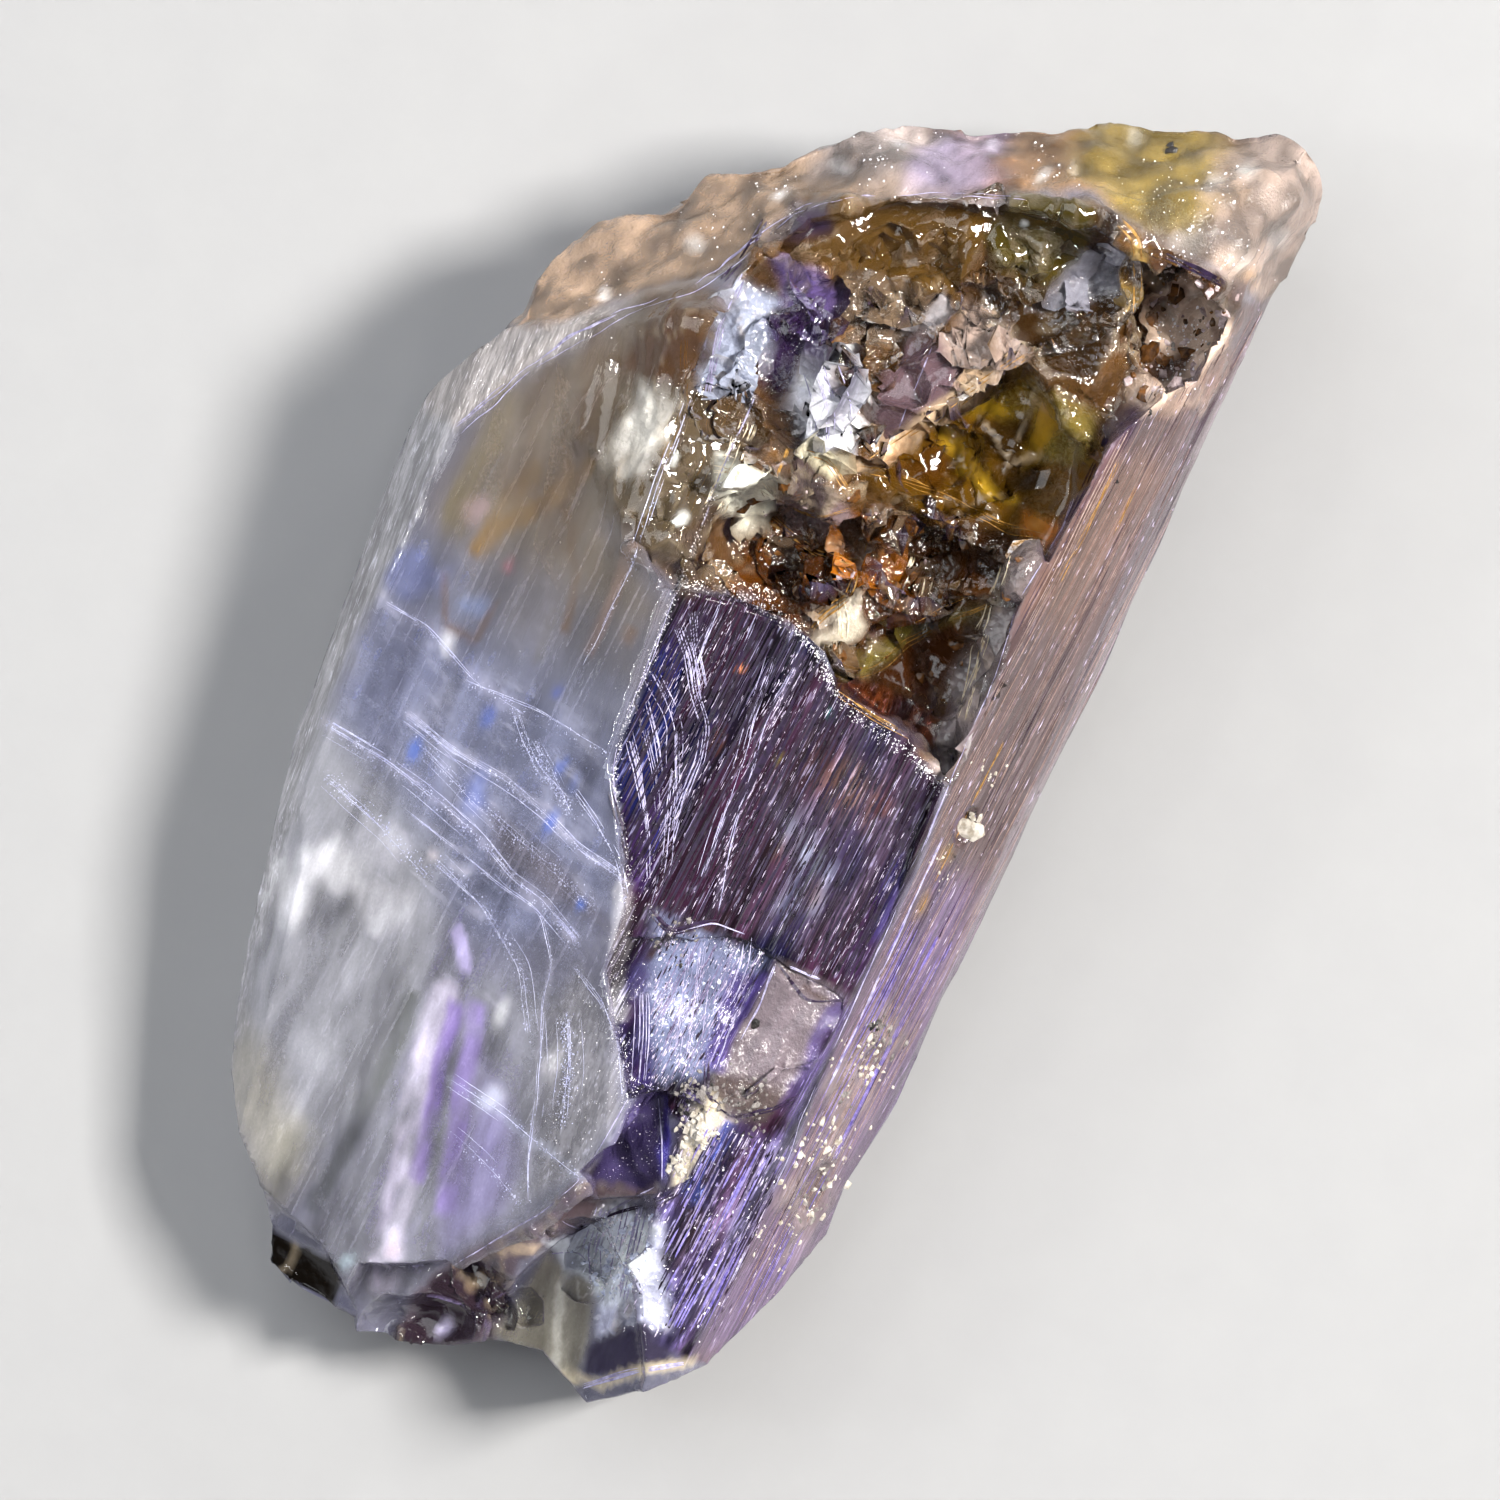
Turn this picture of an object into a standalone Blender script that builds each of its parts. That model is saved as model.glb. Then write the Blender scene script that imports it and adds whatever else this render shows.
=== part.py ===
"""Rough tanzanite: one broken prism lying on its flat back, its length along +Y.

The outline seen from above is drawn as a flat curve and thickened. Slabs then cut the long prism
faces and the worn ends, ledges cut the stepped breaks, and scoops cut the shell-shaped hollows.
"""

import math
import random

import bmesh
import bpy
from mathutils import Euler, Matrix, Vector, noise

# Driving sizes, in millimetres
MM = 0.001
LENGTH = 24.0
WIDTH = 11.9
BLANK_HEIGHT = 8.0
SLAB_SIDE = 60.0

# Lower half: how far the sides draw in from the widest line down to the resting face, and the height of
# that line at the middle with its rise along X and Y
BASE_SCALE_X = 0.88
BASE_SCALE_Y = 0.93
GIRDLE_HEIGHT = 2.6
GIRDLE_RISE_X = -0.12
GIRDLE_RISE_Y = 0.10

SEED = 7

# The outline seen from above, clockwise from the lower tip
OUTLINE = [
    (3.7, -11.2), (2.7, -10.8), (1.9, -11.0), (1.3, -11.4), (0.6, -11.6), (-0.4, -12.0), (-1.3, -11.9),
    (-1.9, -11.7), (-2.1, -11.1), (-2.6, -10.4), (-3.2, -9.9), (-3.8, -9.0), (-4.2, -8.1), (-4.5, -7.0),
    (-4.9, -5.4), (-5.35, -3.7), (-5.6, -1.6), (-5.85, 0.4), (-5.95, 1.4), (-5.9, 2.0), (-5.5, 2.9),
    (-5.05, 3.8), (-5.1, 4.4), (-4.95, 5.2), (-4.6, 5.7), (-3.9, 6.3), (-3.4, 7.1), (-2.8, 7.6),
    (-1.7, 8.7), (-1.1, 9.3), (-0.2, 9.6), (0.7, 10.1), (1.3, 10.3), (1.9, 11.0), (2.9, 11.3), (3.8, 11.8),
    (4.6, 12.0), (5.25, 11.7), (5.45, 11.2), (5.55, 9.0), (5.75, 5.0), (5.85, 2.5), (5.8, 1.4), (5.9, -1.0),
    (5.85, -2.9), (5.95, -4.5), (5.8, -6.2), (5.9, -7.1), (5.6, -8.4), (5.1, -9.8), (4.4, -10.6),
]

# Flat cuts: name, a point on the plane, and the outward direction of the cut-off side
SLABS = [
    ("left_face_upper", (-2.2, 5.0, 6.95), (-0.68, -0.20, 1.0)),
    ("left_face_lower", (-0.6, -1.9, 6.60), (-0.50, -0.36, 1.0)),
    ("middle_face", (-0.9, 0.0, 6.95), (0.27, -0.02, 1.0)),
    ("right_face", (4.45, 0.0, 5.2), (2.1, -0.05, 1.0)),
    ("right_edge_band", (5.6, 0.0, 2.75), (4.5, 0.1, 1.0)),
    ("left_bevel", (-5.05, -1.0, 3.85), (-1.7, -0.30, 1.0)),
    ("left_bevel_low", (-4.1, -7.0, 2.85), (-1.3, -0.55, 1.0)),
    ("shoulder", (-1.0, 5.5, 6.75), (-0.05, 0.36, 1.0)),
    ("rim_left", (-4.3, 4.1, 5.2), (-1.25, 0.95, 1.0)),
    ("rim_middle", (-1.45, 7.75, 5.9), (-1.25, 1.35, 1.0)),
    ("rim_right", (0.9, 8.95, 5.55), (-0.75, 1.75, 1.0)),
    ("rim_high", (2.4, 9.6, 5.4), (-0.50, 1.05, 1.0)),
    ("rim_corner", (4.9, 10.4, 4.9), (0.55, 0.75, 1.0)),
    ("rim_corner_edge", (5.1, 11.0, 4.2), (1.6, 1.3, 1.0)),
    ("foot_slope", (1.5, -9.0, 5.0), (-0.10, -0.80, 1.0)),
    ("back_left", (-5.35, 0.0, 1.4), (-1.0, -0.12, -0.45)),
    ("back_right", (5.3, 0.0, 0.75), (1.0, 0.03, -0.50)),
    ("back_top", (1.0, 9.3, 1.3), (-0.42, 1.0, -0.62)),
    ("back_foot", (0.5, -10.9, 0.6), (0.1, -1.0, -0.9)),
]

# Stepped breaks: name, outline, the height that the outline was seen at, a point on the floor, and the
# floor's rise along X and Y. Everything above the floor inside the outline is gone.
LEDGES = [
    (
        "middle_step",
        [(-1.0, 1.4), (-0.8, -0.3), (-0.6, -1.9), (0.1, -2.9), (0.7, -3.9), (0.8, -4.9), (1.4, -5.7),
         (2.1, -6.6), (2.6, -6.4), (4.3, -6.5), (4.9, -6.3), (4.9, -4.8), (4.75, -2.7), (4.5, -0.8),
         (4.3, 1.1), (4.2, 2.2), (2.1, 2.0), (0.0, 2.2)],
        6.2, (-0.8, 0.0, 6.55), (-0.27, 0.02),
    ),
    (
        "etched_patch",
        [(0.95, -4.3), (2.5, -3.45), (4.5, -3.5), (4.8, -4.4), (4.0, -5.1), (3.7, -5.8), (2.6, -6.2),
         (2.0, -6.3), (1.3, -5.5), (0.95, -4.9)],
        5.6, (2.5, -4.5, 5.38), (-0.24, 0.07),
    ),
    (
        "violet_columns",
        [(2.3, -6.2), (3.7, -5.7), (4.1, -5.0), (5.2, -4.5), (6.4, -6.0), (6.2, -9.5), (5.0, -12.5),
         (3.2, -12.5), (2.6, -10.0), (2.2, -8.4)],
        5.0, (3.6, -7.6, 4.75), (-0.30, 0.16),
    ),
    (
        "violet_triangle",
        [(2.55, -6.2), (1.95, -7.9), (2.4, -8.3), (3.35, -7.7), (3.7, -6.9), (3.2, -6.1)],
        4.9, (2.6, -7.3, 4.35), (0.42, 0.34),
    ),
    (
        "foot_break",
        [(3.1, -7.75), (2.1, -8.3), (1.6, -9.1), (0.9, -10.0), (0.1, -10.5), (-0.7, -10.9), (-1.0, -13.0),
         (3.2, -13.0), (3.1, -11.2), (2.9, -9.6), (3.5, -8.5)],
        4.2, (1.8, -9.6, 3.0), (0.12, 0.28),
    ),
    (
        "foot_clear_block",
        [(2.1, -9.0), (2.75, -8.6), (3.5, -9.2), (4.3, -10.4), (4.6, -12.5), (2.0, -12.5), (1.5, -10.5)],
        3.3, (2.9, -10.0, 2.65), (0.40, 0.34),
    ),
    (
        "foot_corner",
        [(-1.2, -10.9), (-2.9, -10.4), (-3.2, -12.5), (0.2, -12.5), (-0.2, -11.6)],
        2.2, (-1.3, -11.4, 1.45), (0.10, 0.45),
    ),
    (
        "pit_floor",
        [(-2.2, 6.3), (-1.9, 7.3), (-0.6, 8.25), (0.9, 8.9), (1.8, 9.25), (3.0, 9.25), (3.9, 9.3),
         (4.75, 9.1), (5.0, 8.4), (4.7, 7.4), (4.25, 6.2), (4.15, 5.2), (4.05, 4.2), (4.0, 3.3), (4.15, 2.0),
         (4.4, 0.3), (3.4, 0.55), (2.15, 0.75), (1.4, 1.3), (0.0, 1.3), (-1.0, 1.1), (-1.3, 2.5),
         (-0.2, 3.4), (-0.1, 3.8), (0.45, 4.4), (0.4, 5.2), (-0.8, 6.2)],
        6.0, (1.0, 5.0, 5.55), (-0.20, -0.10),
    ),
    (
        "sparkling_shard",
        [(-2.3, 5.0), (-2.2, 6.5), (-1.0, 6.8), (0.1, 6.1), (0.7, 5.2), (0.6, 4.2), (-0.15, 3.6),
         (-1.1, 3.5), (-2.0, 3.2)],
        6.4, (-1.0, 5.2, 6.0), (0.10, -0.20),
    ),
    (
        "left_chips",
        [(-2.35, 5.1), (-1.0, 4.4), (-0.9, 3.2), (-1.1, 2.2), (-0.9, 0.9), (-1.9, 1.3), (-2.45, 2.5),
         (-2.2, 3.5)],
        6.6, (-1.7, 3.0, 6.35), (-0.16, 0.04),
    ),
    (
        "upper_hollows",
        [(-1.9, 6.5), (-1.7, 7.2), (-0.6, 8.1), (0.9, 8.8), (1.8, 9.1), (3.0, 9.1), (3.5, 8.5), (2.5, 7.1),
         (1.3, 6.5), (0.5, 5.6), (-0.9, 6.1)],
        5.3, (0.3, 7.3, 4.65), (0.02, -0.14),
    ),
    (
        "lilac_plane",
        [(0.1, 5.4), (1.1, 7.0), (2.1, 7.3), (3.3, 8.4), (4.5, 8.2), (4.6, 7.2), (4.0, 6.0), (2.35, 5.9),
         (0.9, 3.8), (0.2, 4.3)],
        5.3, (1.6, 6.0, 4.95), (-0.14, 0.20),
    ),
    (
        "dark_hole",
        [(3.2, 8.9), (3.9, 9.2), (4.65, 9.05), (4.95, 8.4), (5.0, 7.7), (4.6, 7.3), (4.1, 7.6), (3.6, 8.2)],
        5.0, (4.2, 8.4, 3.7), (-0.25, 0.20),
    ),
    (
        "gold_hollow",
        [(0.7, 3.8), (0.9, 4.5), (1.5, 5.5), (2.35, 6.7), (2.95, 6.65), (3.9, 6.1), (4.1, 5.2), (4.1, 4.1),
         (3.3, 3.8), (2.3, 3.5), (1.5, 3.4)],
        5.0, (2.6, 5.1, 3.85), (-0.14, -0.22),
    ),
    (
        "brown_hollow",
        [(-0.9, 1.5), (-1.1, 2.5), (-0.2, 3.2), (0.2, 3.9), (0.9, 4.1), (1.5, 4.0), (2.7, 4.2), (4.0, 4.4),
         (3.95, 3.2), (3.3, 2.5), (2.6, 1.8), (1.9, 1.1), (0.9, 1.4), (0.0, 1.35)],
        5.6, (1.2, 2.6, 4.85), (-0.22, 0.20),
    ),
    (
        "lower_hollow",
        [(1.95, 1.0), (2.2, 1.9), (3.1, 3.0), (4.0, 3.5), (4.1, 2.0), (4.3, 0.35), (3.4, 0.6), (2.7, 0.7),
         (2.15, 0.8)],
        4.9, (3.2, 1.9, 3.75), (0.30, 0.22),
    ),
]

# Shell-shaped hollows: name, middle, half sizes, and turn about Z in degrees
SCOOPS = [
    ("gold_scoop", (2.7, 5.0, 5.3), (1.75, 1.0, 2.0), 28.0),
    ("brown_scoop_left", (0.2, 2.4, 6.0), (1.2, 0.95, 1.65), 10.0),
    ("brown_scoop_right", (2.8, 3.3, 5.3), (1.3, 0.75, 1.55), 24.0),
    ("lower_scoop", (3.3, 1.75, 4.7), (0.75, 1.15, 1.55), 32.0),
    ("upper_scoop", (-0.3, 7.2, 6.0), (1.4, 0.85, 1.75), 30.0),
    ("block_scoop", (2.25, 8.35, 5.9), (1.1, 0.9, 1.6), 36.0),
    ("lilac_scoop", (1.3, 5.85, 6.2), (0.65, 1.6, 1.5), -38.0),
    ("hole_scoop", (4.45, 8.5, 4.3), (0.6, 0.75, 1.2), 0.0),
    ("side_chip_upper", (6.0, 5.4, 3.2), (0.55, 0.9, 0.7), 3.0),
    ("side_chip_middle", (5.75, -4.2, 3.5), (0.6, 0.7, 0.7), 0.0),
    ("side_chip_lower", (5.8, -6.7, 3.1), (0.6, 0.9, 0.9), 8.0),
    ("grain_pit", (5.0, -0.3, 4.35), (0.3, 0.42, 0.45), 10.0),
    ("foot_scoop", (0.7, -11.5, 2.7), (1.05, 0.62, 1.2), 24.0),
    ("foot_scoop_right", (2.3, -9.2, 3.8), (0.8, 0.6, 1.1), 50.0),
    ("back_scoop_top", (3.6, 11.3, 1.2), (1.6, 1.1, 0.9), 20.0),
    ("back_scoop_foot", (1.5, -11.0, 0.4), (1.8, 0.9, 0.9), -8.0),
    ("back_scoop_left", (-5.5, -4.0, 0.8), (0.9, 1.9, 0.8), -10.0),
    ("back_scoop_right", (5.8, 2.6, 0.5), (0.8, 2.3, 0.8), 0.0),
]

# Fields of small angular chips: name, middle, half sizes, turn about Z in degrees, number of chips, and
# the least and greatest half size of a chip
CHIP_FIELDS = [
    ("upper_chip", (0.7, 7.5), (2.6, 0.8), 20.0, 18, (0.50, 1.00)),
    ("middle_chip", (0.9, 4.9), (2.5, 1.3), 12.0, 24, (0.50, 1.00)),
    ("lower_chip", (1.6, 2.7), (2.0, 0.8), 15.0, 16, (0.40, 0.80)),
    ("left_chip", (-1.7, 3.2), (0.35, 1.6), 5.0, 10, (0.28, 0.50)),
    ("foot_chip", (1.9, -9.8), (1.2, 0.7), 40.0, 10, (0.40, 0.75)),
]
CHIP_RAISED_SHARE = 0.35

# Relief of a scoop's wall: waves of the break, as a share of its half size
WAVE_SHARE = 0.10
WAVE_PITCH = 0.9
# How much wider a ledge's outline grows with each millimetre above the height it was seen at, as a share
LEDGE_DRAFT = 0.07
SHORTEST_EDGE = 0.004
# No cut takes more than a fifth, so less left than this means that the cut failed
LEAST_VOLUME_LEFT = 0.75
CRYSTAL_COLOUR = (0.30, 0.25, 0.48, 1.0)


def clear_scene():
    """Empty the scene."""
    for obj in list(bpy.data.objects):
        bpy.data.objects.remove(obj, do_unlink=True)


def new_collection(name, is_helper=False):
    """Add a collection to the scene, left out of renders if it holds helpers."""
    collection = bpy.data.collections.new(name)
    bpy.context.scene.collection.children.link(collection)
    collection.hide_render = is_helper
    return collection


def crystal_material():
    """Make the plain violet glass of the solid."""
    material = bpy.data.materials.new("tanzanite")
    material.use_nodes = True
    shader = material.node_tree.nodes["Principled BSDF"]
    shader.inputs["Base Color"].default_value = CRYSTAL_COLOUR
    shader.inputs["Roughness"].default_value = 0.2
    shader.inputs["Metallic"].default_value = 0.0
    return material


def outline_solid(name, points, bottom, top, collection):
    """Thicken a flat closed outline, given in millimetres, into a mesh from bottom to top."""
    curve = bpy.data.curves.new(name + "_outline", "CURVE")
    curve.dimensions = "2D"
    curve.fill_mode = "BOTH"
    curve.extrude = (top - bottom) / 2 * MM
    spline = curve.splines.new("POLY")
    spline.points.add(len(points) - 1)
    for spot, (x, y) in zip(spline.points, points):
        spot.co = (x * MM, y * MM, 0.0, 1.0)
    spline.use_cyclic_u = True
    drawn = bpy.data.objects.new(name + "_outline", curve)
    drawn.location.z = (top + bottom) / 2 * MM
    collection.objects.link(drawn)
    bpy.context.view_layer.update()
    evaluated = drawn.evaluated_get(bpy.context.evaluated_depsgraph_get())
    mesh = bpy.data.meshes.new_from_object(evaluated)
    mesh.name = name
    mesh.transform(drawn.matrix_world)
    bpy.data.objects.remove(drawn, do_unlink=True)
    shape = bmesh.new()
    shape.from_mesh(mesh)
    bmesh.ops.remove_doubles(shape, verts=shape.verts, dist=1e-6)
    bmesh.ops.recalc_face_normals(shape, faces=shape.faces)
    shape.to_mesh(mesh)
    shape.free()
    solid = bpy.data.objects.new(name, mesh)
    collection.objects.link(solid)
    return solid


def draw_in_base(blank):
    """Add the widest line round the blank and draw its sides in below it."""
    shape = bmesh.new()
    shape.from_mesh(blank.data)
    bmesh.ops.bisect_plane(
        shape,
        geom=shape.verts[:] + shape.edges[:] + shape.faces[:],
        plane_co=(0.0, 0.0, GIRDLE_HEIGHT * MM),
        plane_no=(-GIRDLE_RISE_X, -GIRDLE_RISE_Y, 1.0),
    )
    for vert in shape.verts:
        if vert.co.z < 1e-6:
            vert.co.x *= BASE_SCALE_X
            vert.co.y *= BASE_SCALE_Y
    shape.to_mesh(blank.data)
    shape.free()


def slab_cutter(name, point, outward, collection):
    """A large box whose inner face is the plane through the point, facing outward."""
    bpy.ops.mesh.primitive_cube_add(size=SLAB_SIDE * MM)
    cutter = bpy.context.object
    cutter.name = name
    direction = Vector(outward).normalized()
    cutter.rotation_euler = direction.to_track_quat("Z", "Y").to_euler()
    cutter.location = Vector(point) * MM + direction * SLAB_SIDE / 2 * MM
    move_to(cutter, collection)
    return cutter


def ledge_cutter(name, outline, seen_height, floor_point, rise, collection):
    """A prism over the outline whose underside is the tilted floor and whose sides flare upward."""
    cutter = outline_solid(name, outline, 0.0, BLANK_HEIGHT + 2.0, collection)
    middle = sum((Vector(spot) for spot in outline), Vector((0.0, 0.0))) / len(outline)
    for vert in cutter.data.vertices:
        spot = vert.co / MM
        if spot.z < 1e-3:
            risen = rise[0] * (spot.x - floor_point[0]) + rise[1] * (spot.y - floor_point[1])
            spot.z = floor_point[2] + risen
        flare = 1.0 + LEDGE_DRAFT * (spot.z - seen_height)
        spot.x = middle.x + (spot.x - middle.x) * flare
        spot.y = middle.y + (spot.y - middle.y) * flare
        vert.co = spot * MM
    return cutter


def scoop_cutter(name, middle, half_sizes, turn, collection, rng):
    """An uneven ball whose wall has the low waves of a shell-shaped break."""
    bpy.ops.mesh.primitive_ico_sphere_add(subdivisions=3, radius=1.0)
    cutter = bpy.context.object
    cutter.name = name
    move_to(cutter, collection)
    shift = Vector((rng.uniform(-50, 50), rng.uniform(-50, 50), rng.uniform(-50, 50)))
    placed = Matrix.Translation(Vector(middle)) @ Matrix.Rotation(math.radians(turn), 4, "Z")
    for vert in cutter.data.vertices:
        wave = noise.noise(vert.co / WAVE_PITCH + shift)
        ripple = noise.noise(vert.co * 3.0 / WAVE_PITCH + shift)
        grown = vert.co * (1.0 + WAVE_SHARE * (2.0 * wave + ripple))
        sized = Vector((grown.x * half_sizes[0], grown.y * half_sizes[1], grown.z * half_sizes[2]))
        vert.co = (placed @ sized) * MM
    return cutter


def chip_cutter(name, middle, half_size, collection, rng):
    """A small angular lump, whose few flat faces leave an angular hollow."""
    bpy.ops.mesh.primitive_ico_sphere_add(subdivisions=1, radius=1.0)
    cutter = bpy.context.object
    cutter.name = name
    move_to(cutter, collection)
    turned = Euler([rng.uniform(0.0, math.tau) for axis in range(3)]).to_matrix()
    stretch = Vector((1.0, rng.uniform(0.6, 1.0), rng.uniform(0.5, 0.9)))
    for vert in cutter.data.vertices:
        lump = vert.co * rng.uniform(0.85, 1.15) * stretch * half_size
        vert.co = (Vector(middle) + turned @ lump) * MM
    return cutter


def chip_field(solid, field, collection, rng):
    """Chip the solid's upper side at scattered places of one field."""
    name, middle, half_sizes, turn, count, (least, greatest) = field
    turned = Matrix.Rotation(math.radians(turn), 2)
    for index in range(count):
        angle = rng.uniform(0.0, math.tau)
        reach = math.sqrt(rng.random())
        across = Vector((half_sizes[0] * math.cos(angle), half_sizes[1] * math.sin(angle))) * reach
        spot = Vector(middle) + turned @ across
        half_size = rng.uniform(least, greatest)
        above = Vector((spot.x * MM, spot.y * MM, 2 * BLANK_HEIGHT * MM))
        is_hit, landed, _, _ = solid.ray_cast(above, Vector((0.0, 0.0, -1.0)))
        if not is_hit:
            continue
        height = landed.z / MM + half_size * CHIP_RAISED_SHARE
        cut(solid, chip_cutter(f"{name}_{index}", (spot.x, spot.y, height), half_size, collection, rng))


def move_to(obj, collection):
    """Put an object in one collection only."""
    for other in list(obj.users_collection):
        other.objects.unlink(obj)
    collection.objects.link(obj)


def cut(solid, cutter):
    """Take the cutter out of the solid for good, unless the result isn't one whole closed mesh."""
    cutter.hide_render = True
    cutter.display_type = "WIRE"
    modifier = solid.modifiers.new(cutter.name, "BOOLEAN")
    modifier.operation = "DIFFERENCE"
    modifier.object = cutter
    evaluated = solid.evaluated_get(bpy.context.evaluated_depsgraph_get())
    carved = bpy.data.meshes.new_from_object(evaluated)
    solid.modifiers.remove(modifier)
    shape = bmesh.new()
    shape.from_mesh(carved)
    bmesh.ops.dissolve_degenerate(shape, edges=shape.edges, dist=SHORTEST_EDGE * MM)
    is_closed = all(edge.is_manifold for edge in shape.edges)
    is_whole = is_closed and shape.calc_volume() > LEAST_VOLUME_LEFT * solid_volume(solid)
    shape.to_mesh(carved)
    shape.free()
    if is_whole:
        solid.data = carved


def solid_volume(solid):
    """Volume of a closed mesh."""
    shape = bmesh.new()
    shape.from_mesh(solid.data)
    volume = shape.calc_volume()
    shape.free()
    return volume


def fit_to_size(solid):
    """Stand the solid on the ground, centred, at its driving length and width."""
    low = Vector(min(vert.co[axis] for vert in solid.data.vertices) for axis in range(3))
    high = Vector(max(vert.co[axis] for vert in solid.data.vertices) for axis in range(3))
    size = high - low
    for vert in solid.data.vertices:
        vert.co.x = (vert.co.x - (low.x + high.x) / 2) * WIDTH * MM / size.x
        vert.co.y = (vert.co.y - (low.y + high.y) / 2) * LENGTH * MM / size.y
        vert.co.z = vert.co.z - low.z


def main():
    """Model the crystal."""
    clear_scene()
    rng = random.Random(SEED)
    pieces = new_collection("rough_tanzanite")
    cutters = new_collection("cutters", is_helper=True)
    crystal = outline_solid("crystal", OUTLINE, 0.0, BLANK_HEIGHT, pieces)
    draw_in_base(crystal)
    crystal.data.materials.clear()
    crystal.data.materials.append(crystal_material())
    for name, point, outward in SLABS:
        cut(crystal, slab_cutter(name, point, outward, cutters))
    for name, outline, seen_height, floor_point, rise in LEDGES:
        cut(crystal, ledge_cutter(name, outline, seen_height, floor_point, rise, cutters))
    for name, middle, half_sizes, turn in SCOOPS:
        cut(crystal, scoop_cutter(name, middle, half_sizes, turn, cutters, rng))
    for field in CHIP_FIELDS:
        chip_field(crystal, field, cutters, rng)
    fit_to_size(crystal)


if __name__ == "__main__":
    main()
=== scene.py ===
"""Looks of a rough tanzanite crystal: growth lines, a broken pit, frosted rims, veils and mineral specks.

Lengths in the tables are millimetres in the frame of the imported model, and meshes are metres.
"""

import logging
import math
import random
from collections.abc import Callable, Iterable, Sequence
from dataclasses import dataclass, field, fields
from enum import Enum
from typing import TypeVar

import bmesh
import bpy
import numpy as np
from mathutils import Matrix, Vector
from mathutils.bvhtree import BVHTree

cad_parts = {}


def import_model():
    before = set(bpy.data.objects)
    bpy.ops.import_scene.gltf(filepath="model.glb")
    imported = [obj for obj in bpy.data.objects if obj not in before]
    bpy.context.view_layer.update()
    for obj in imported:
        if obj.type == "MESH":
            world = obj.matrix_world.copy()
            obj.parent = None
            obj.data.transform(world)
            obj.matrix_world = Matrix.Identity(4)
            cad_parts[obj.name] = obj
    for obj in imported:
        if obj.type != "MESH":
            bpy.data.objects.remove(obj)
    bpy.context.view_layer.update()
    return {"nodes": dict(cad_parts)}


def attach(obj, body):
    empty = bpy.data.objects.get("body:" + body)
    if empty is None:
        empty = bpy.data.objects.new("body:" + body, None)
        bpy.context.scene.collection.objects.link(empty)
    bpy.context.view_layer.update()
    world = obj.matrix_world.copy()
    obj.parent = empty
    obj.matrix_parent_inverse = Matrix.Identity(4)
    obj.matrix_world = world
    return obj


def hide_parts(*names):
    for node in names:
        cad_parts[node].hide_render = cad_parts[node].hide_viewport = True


LOG = logging.getLogger("tanzanite")
MM = 0.001
BODY = "root"
NODE = "crystal"
SNAP = 0.004
STEEPEST = 0.6
KEPT = ("pit_floor", "dark_corner")

Point = tuple[float, float]
Array = np.ndarray
Row = TypeVar("Row")


def linear(code: str) -> tuple[float, float, float]:
    """Turn a colour written as six hexadecimal digits into linear red, green and blue.

    Args:
        code: the colour as seen on a screen, such as "8c7a90".

    Returns:
        The three linear values from 0 to 1.
    """
    seen = [int(code[at : at + 2], 16) / 255 for at in (0, 2, 4)]
    red, green, blue = ((c / 12.92) if c <= 0.04045 else ((c + 0.055) / 1.055) ** 2.4 for c in seen)
    return red, green, blue


def way(text: str) -> tuple[Point, ...]:
    """Read a line's corners in millimetres, written as "x,y x,y"."""
    return tuple((float(x), float(y)) for x, y in (pair.split(",") for pair in text.split()))


def blend(tone: Array, code: str, share: Array) -> None:
    """Paint one colour over the colours of N points, at each as strongly as its share says."""
    tone += (np.array(linear(code)) - tone) * share[:, None]


def smooth(low: float, high: float, value: Array) -> Array:
    """Rise from 0 to 1 with soft ends while value goes from low to high."""
    share = np.clip((value - low) / (high - low), 0.0, 1.0)
    return share * share * (3.0 - 2.0 * share)


class ValueNoise:
    """Smooth repeatable noise from one table of random numbers."""

    SIDE = 64

    def __init__(self, seed: int) -> None:
        """Fill the table.

        Args:
            seed: the number that fixes the pattern.
        """
        self.table = np.random.default_rng(seed).random((self.SIDE,) * 3, dtype=np.float32)

    def at(self, points: Array, per_mm: Sequence[float], octaves: int = 1) -> Array:
        """Read the noise at some points.

        Args:
            points: N by 3 places in millimetres.
            per_mm: lattice steps per millimetre along X, Y and Z.
            octaves: how many finer layers are added, each half as strong.

        Returns:
            N values around 0, from about -1 to 1.
        """
        total = np.zeros(len(points))
        weight, sums = 1.0, 0.0
        lattice = points * np.asarray(per_mm)
        for _ in range(octaves):
            total += weight * (self._layer(lattice) * 2.0 - 1.0)
            sums += weight
            lattice = lattice * 2.03 + 17.1
            weight *= 0.5
        return total / sums

    def _layer(self, lattice: Array) -> Array:
        """Blend the eight table values round each lattice place.

        Args:
            lattice: N by 3 places in lattice steps.

        Returns:
            N values from 0 to 1.
        """
        base = np.floor(lattice).astype(np.int64)
        part = lattice - base
        part = part * part * (3.0 - 2.0 * part)
        value = np.zeros(len(lattice))
        for corner in range(8):
            step = np.array([(corner >> axis) & 1 for axis in range(3)])
            share = np.prod(np.where(step, part, 1.0 - part), axis=1)
            index = (base + step) % self.SIDE
            value += share * self.table[index[:, 0], index[:, 1], index[:, 2]]
        return value


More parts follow.
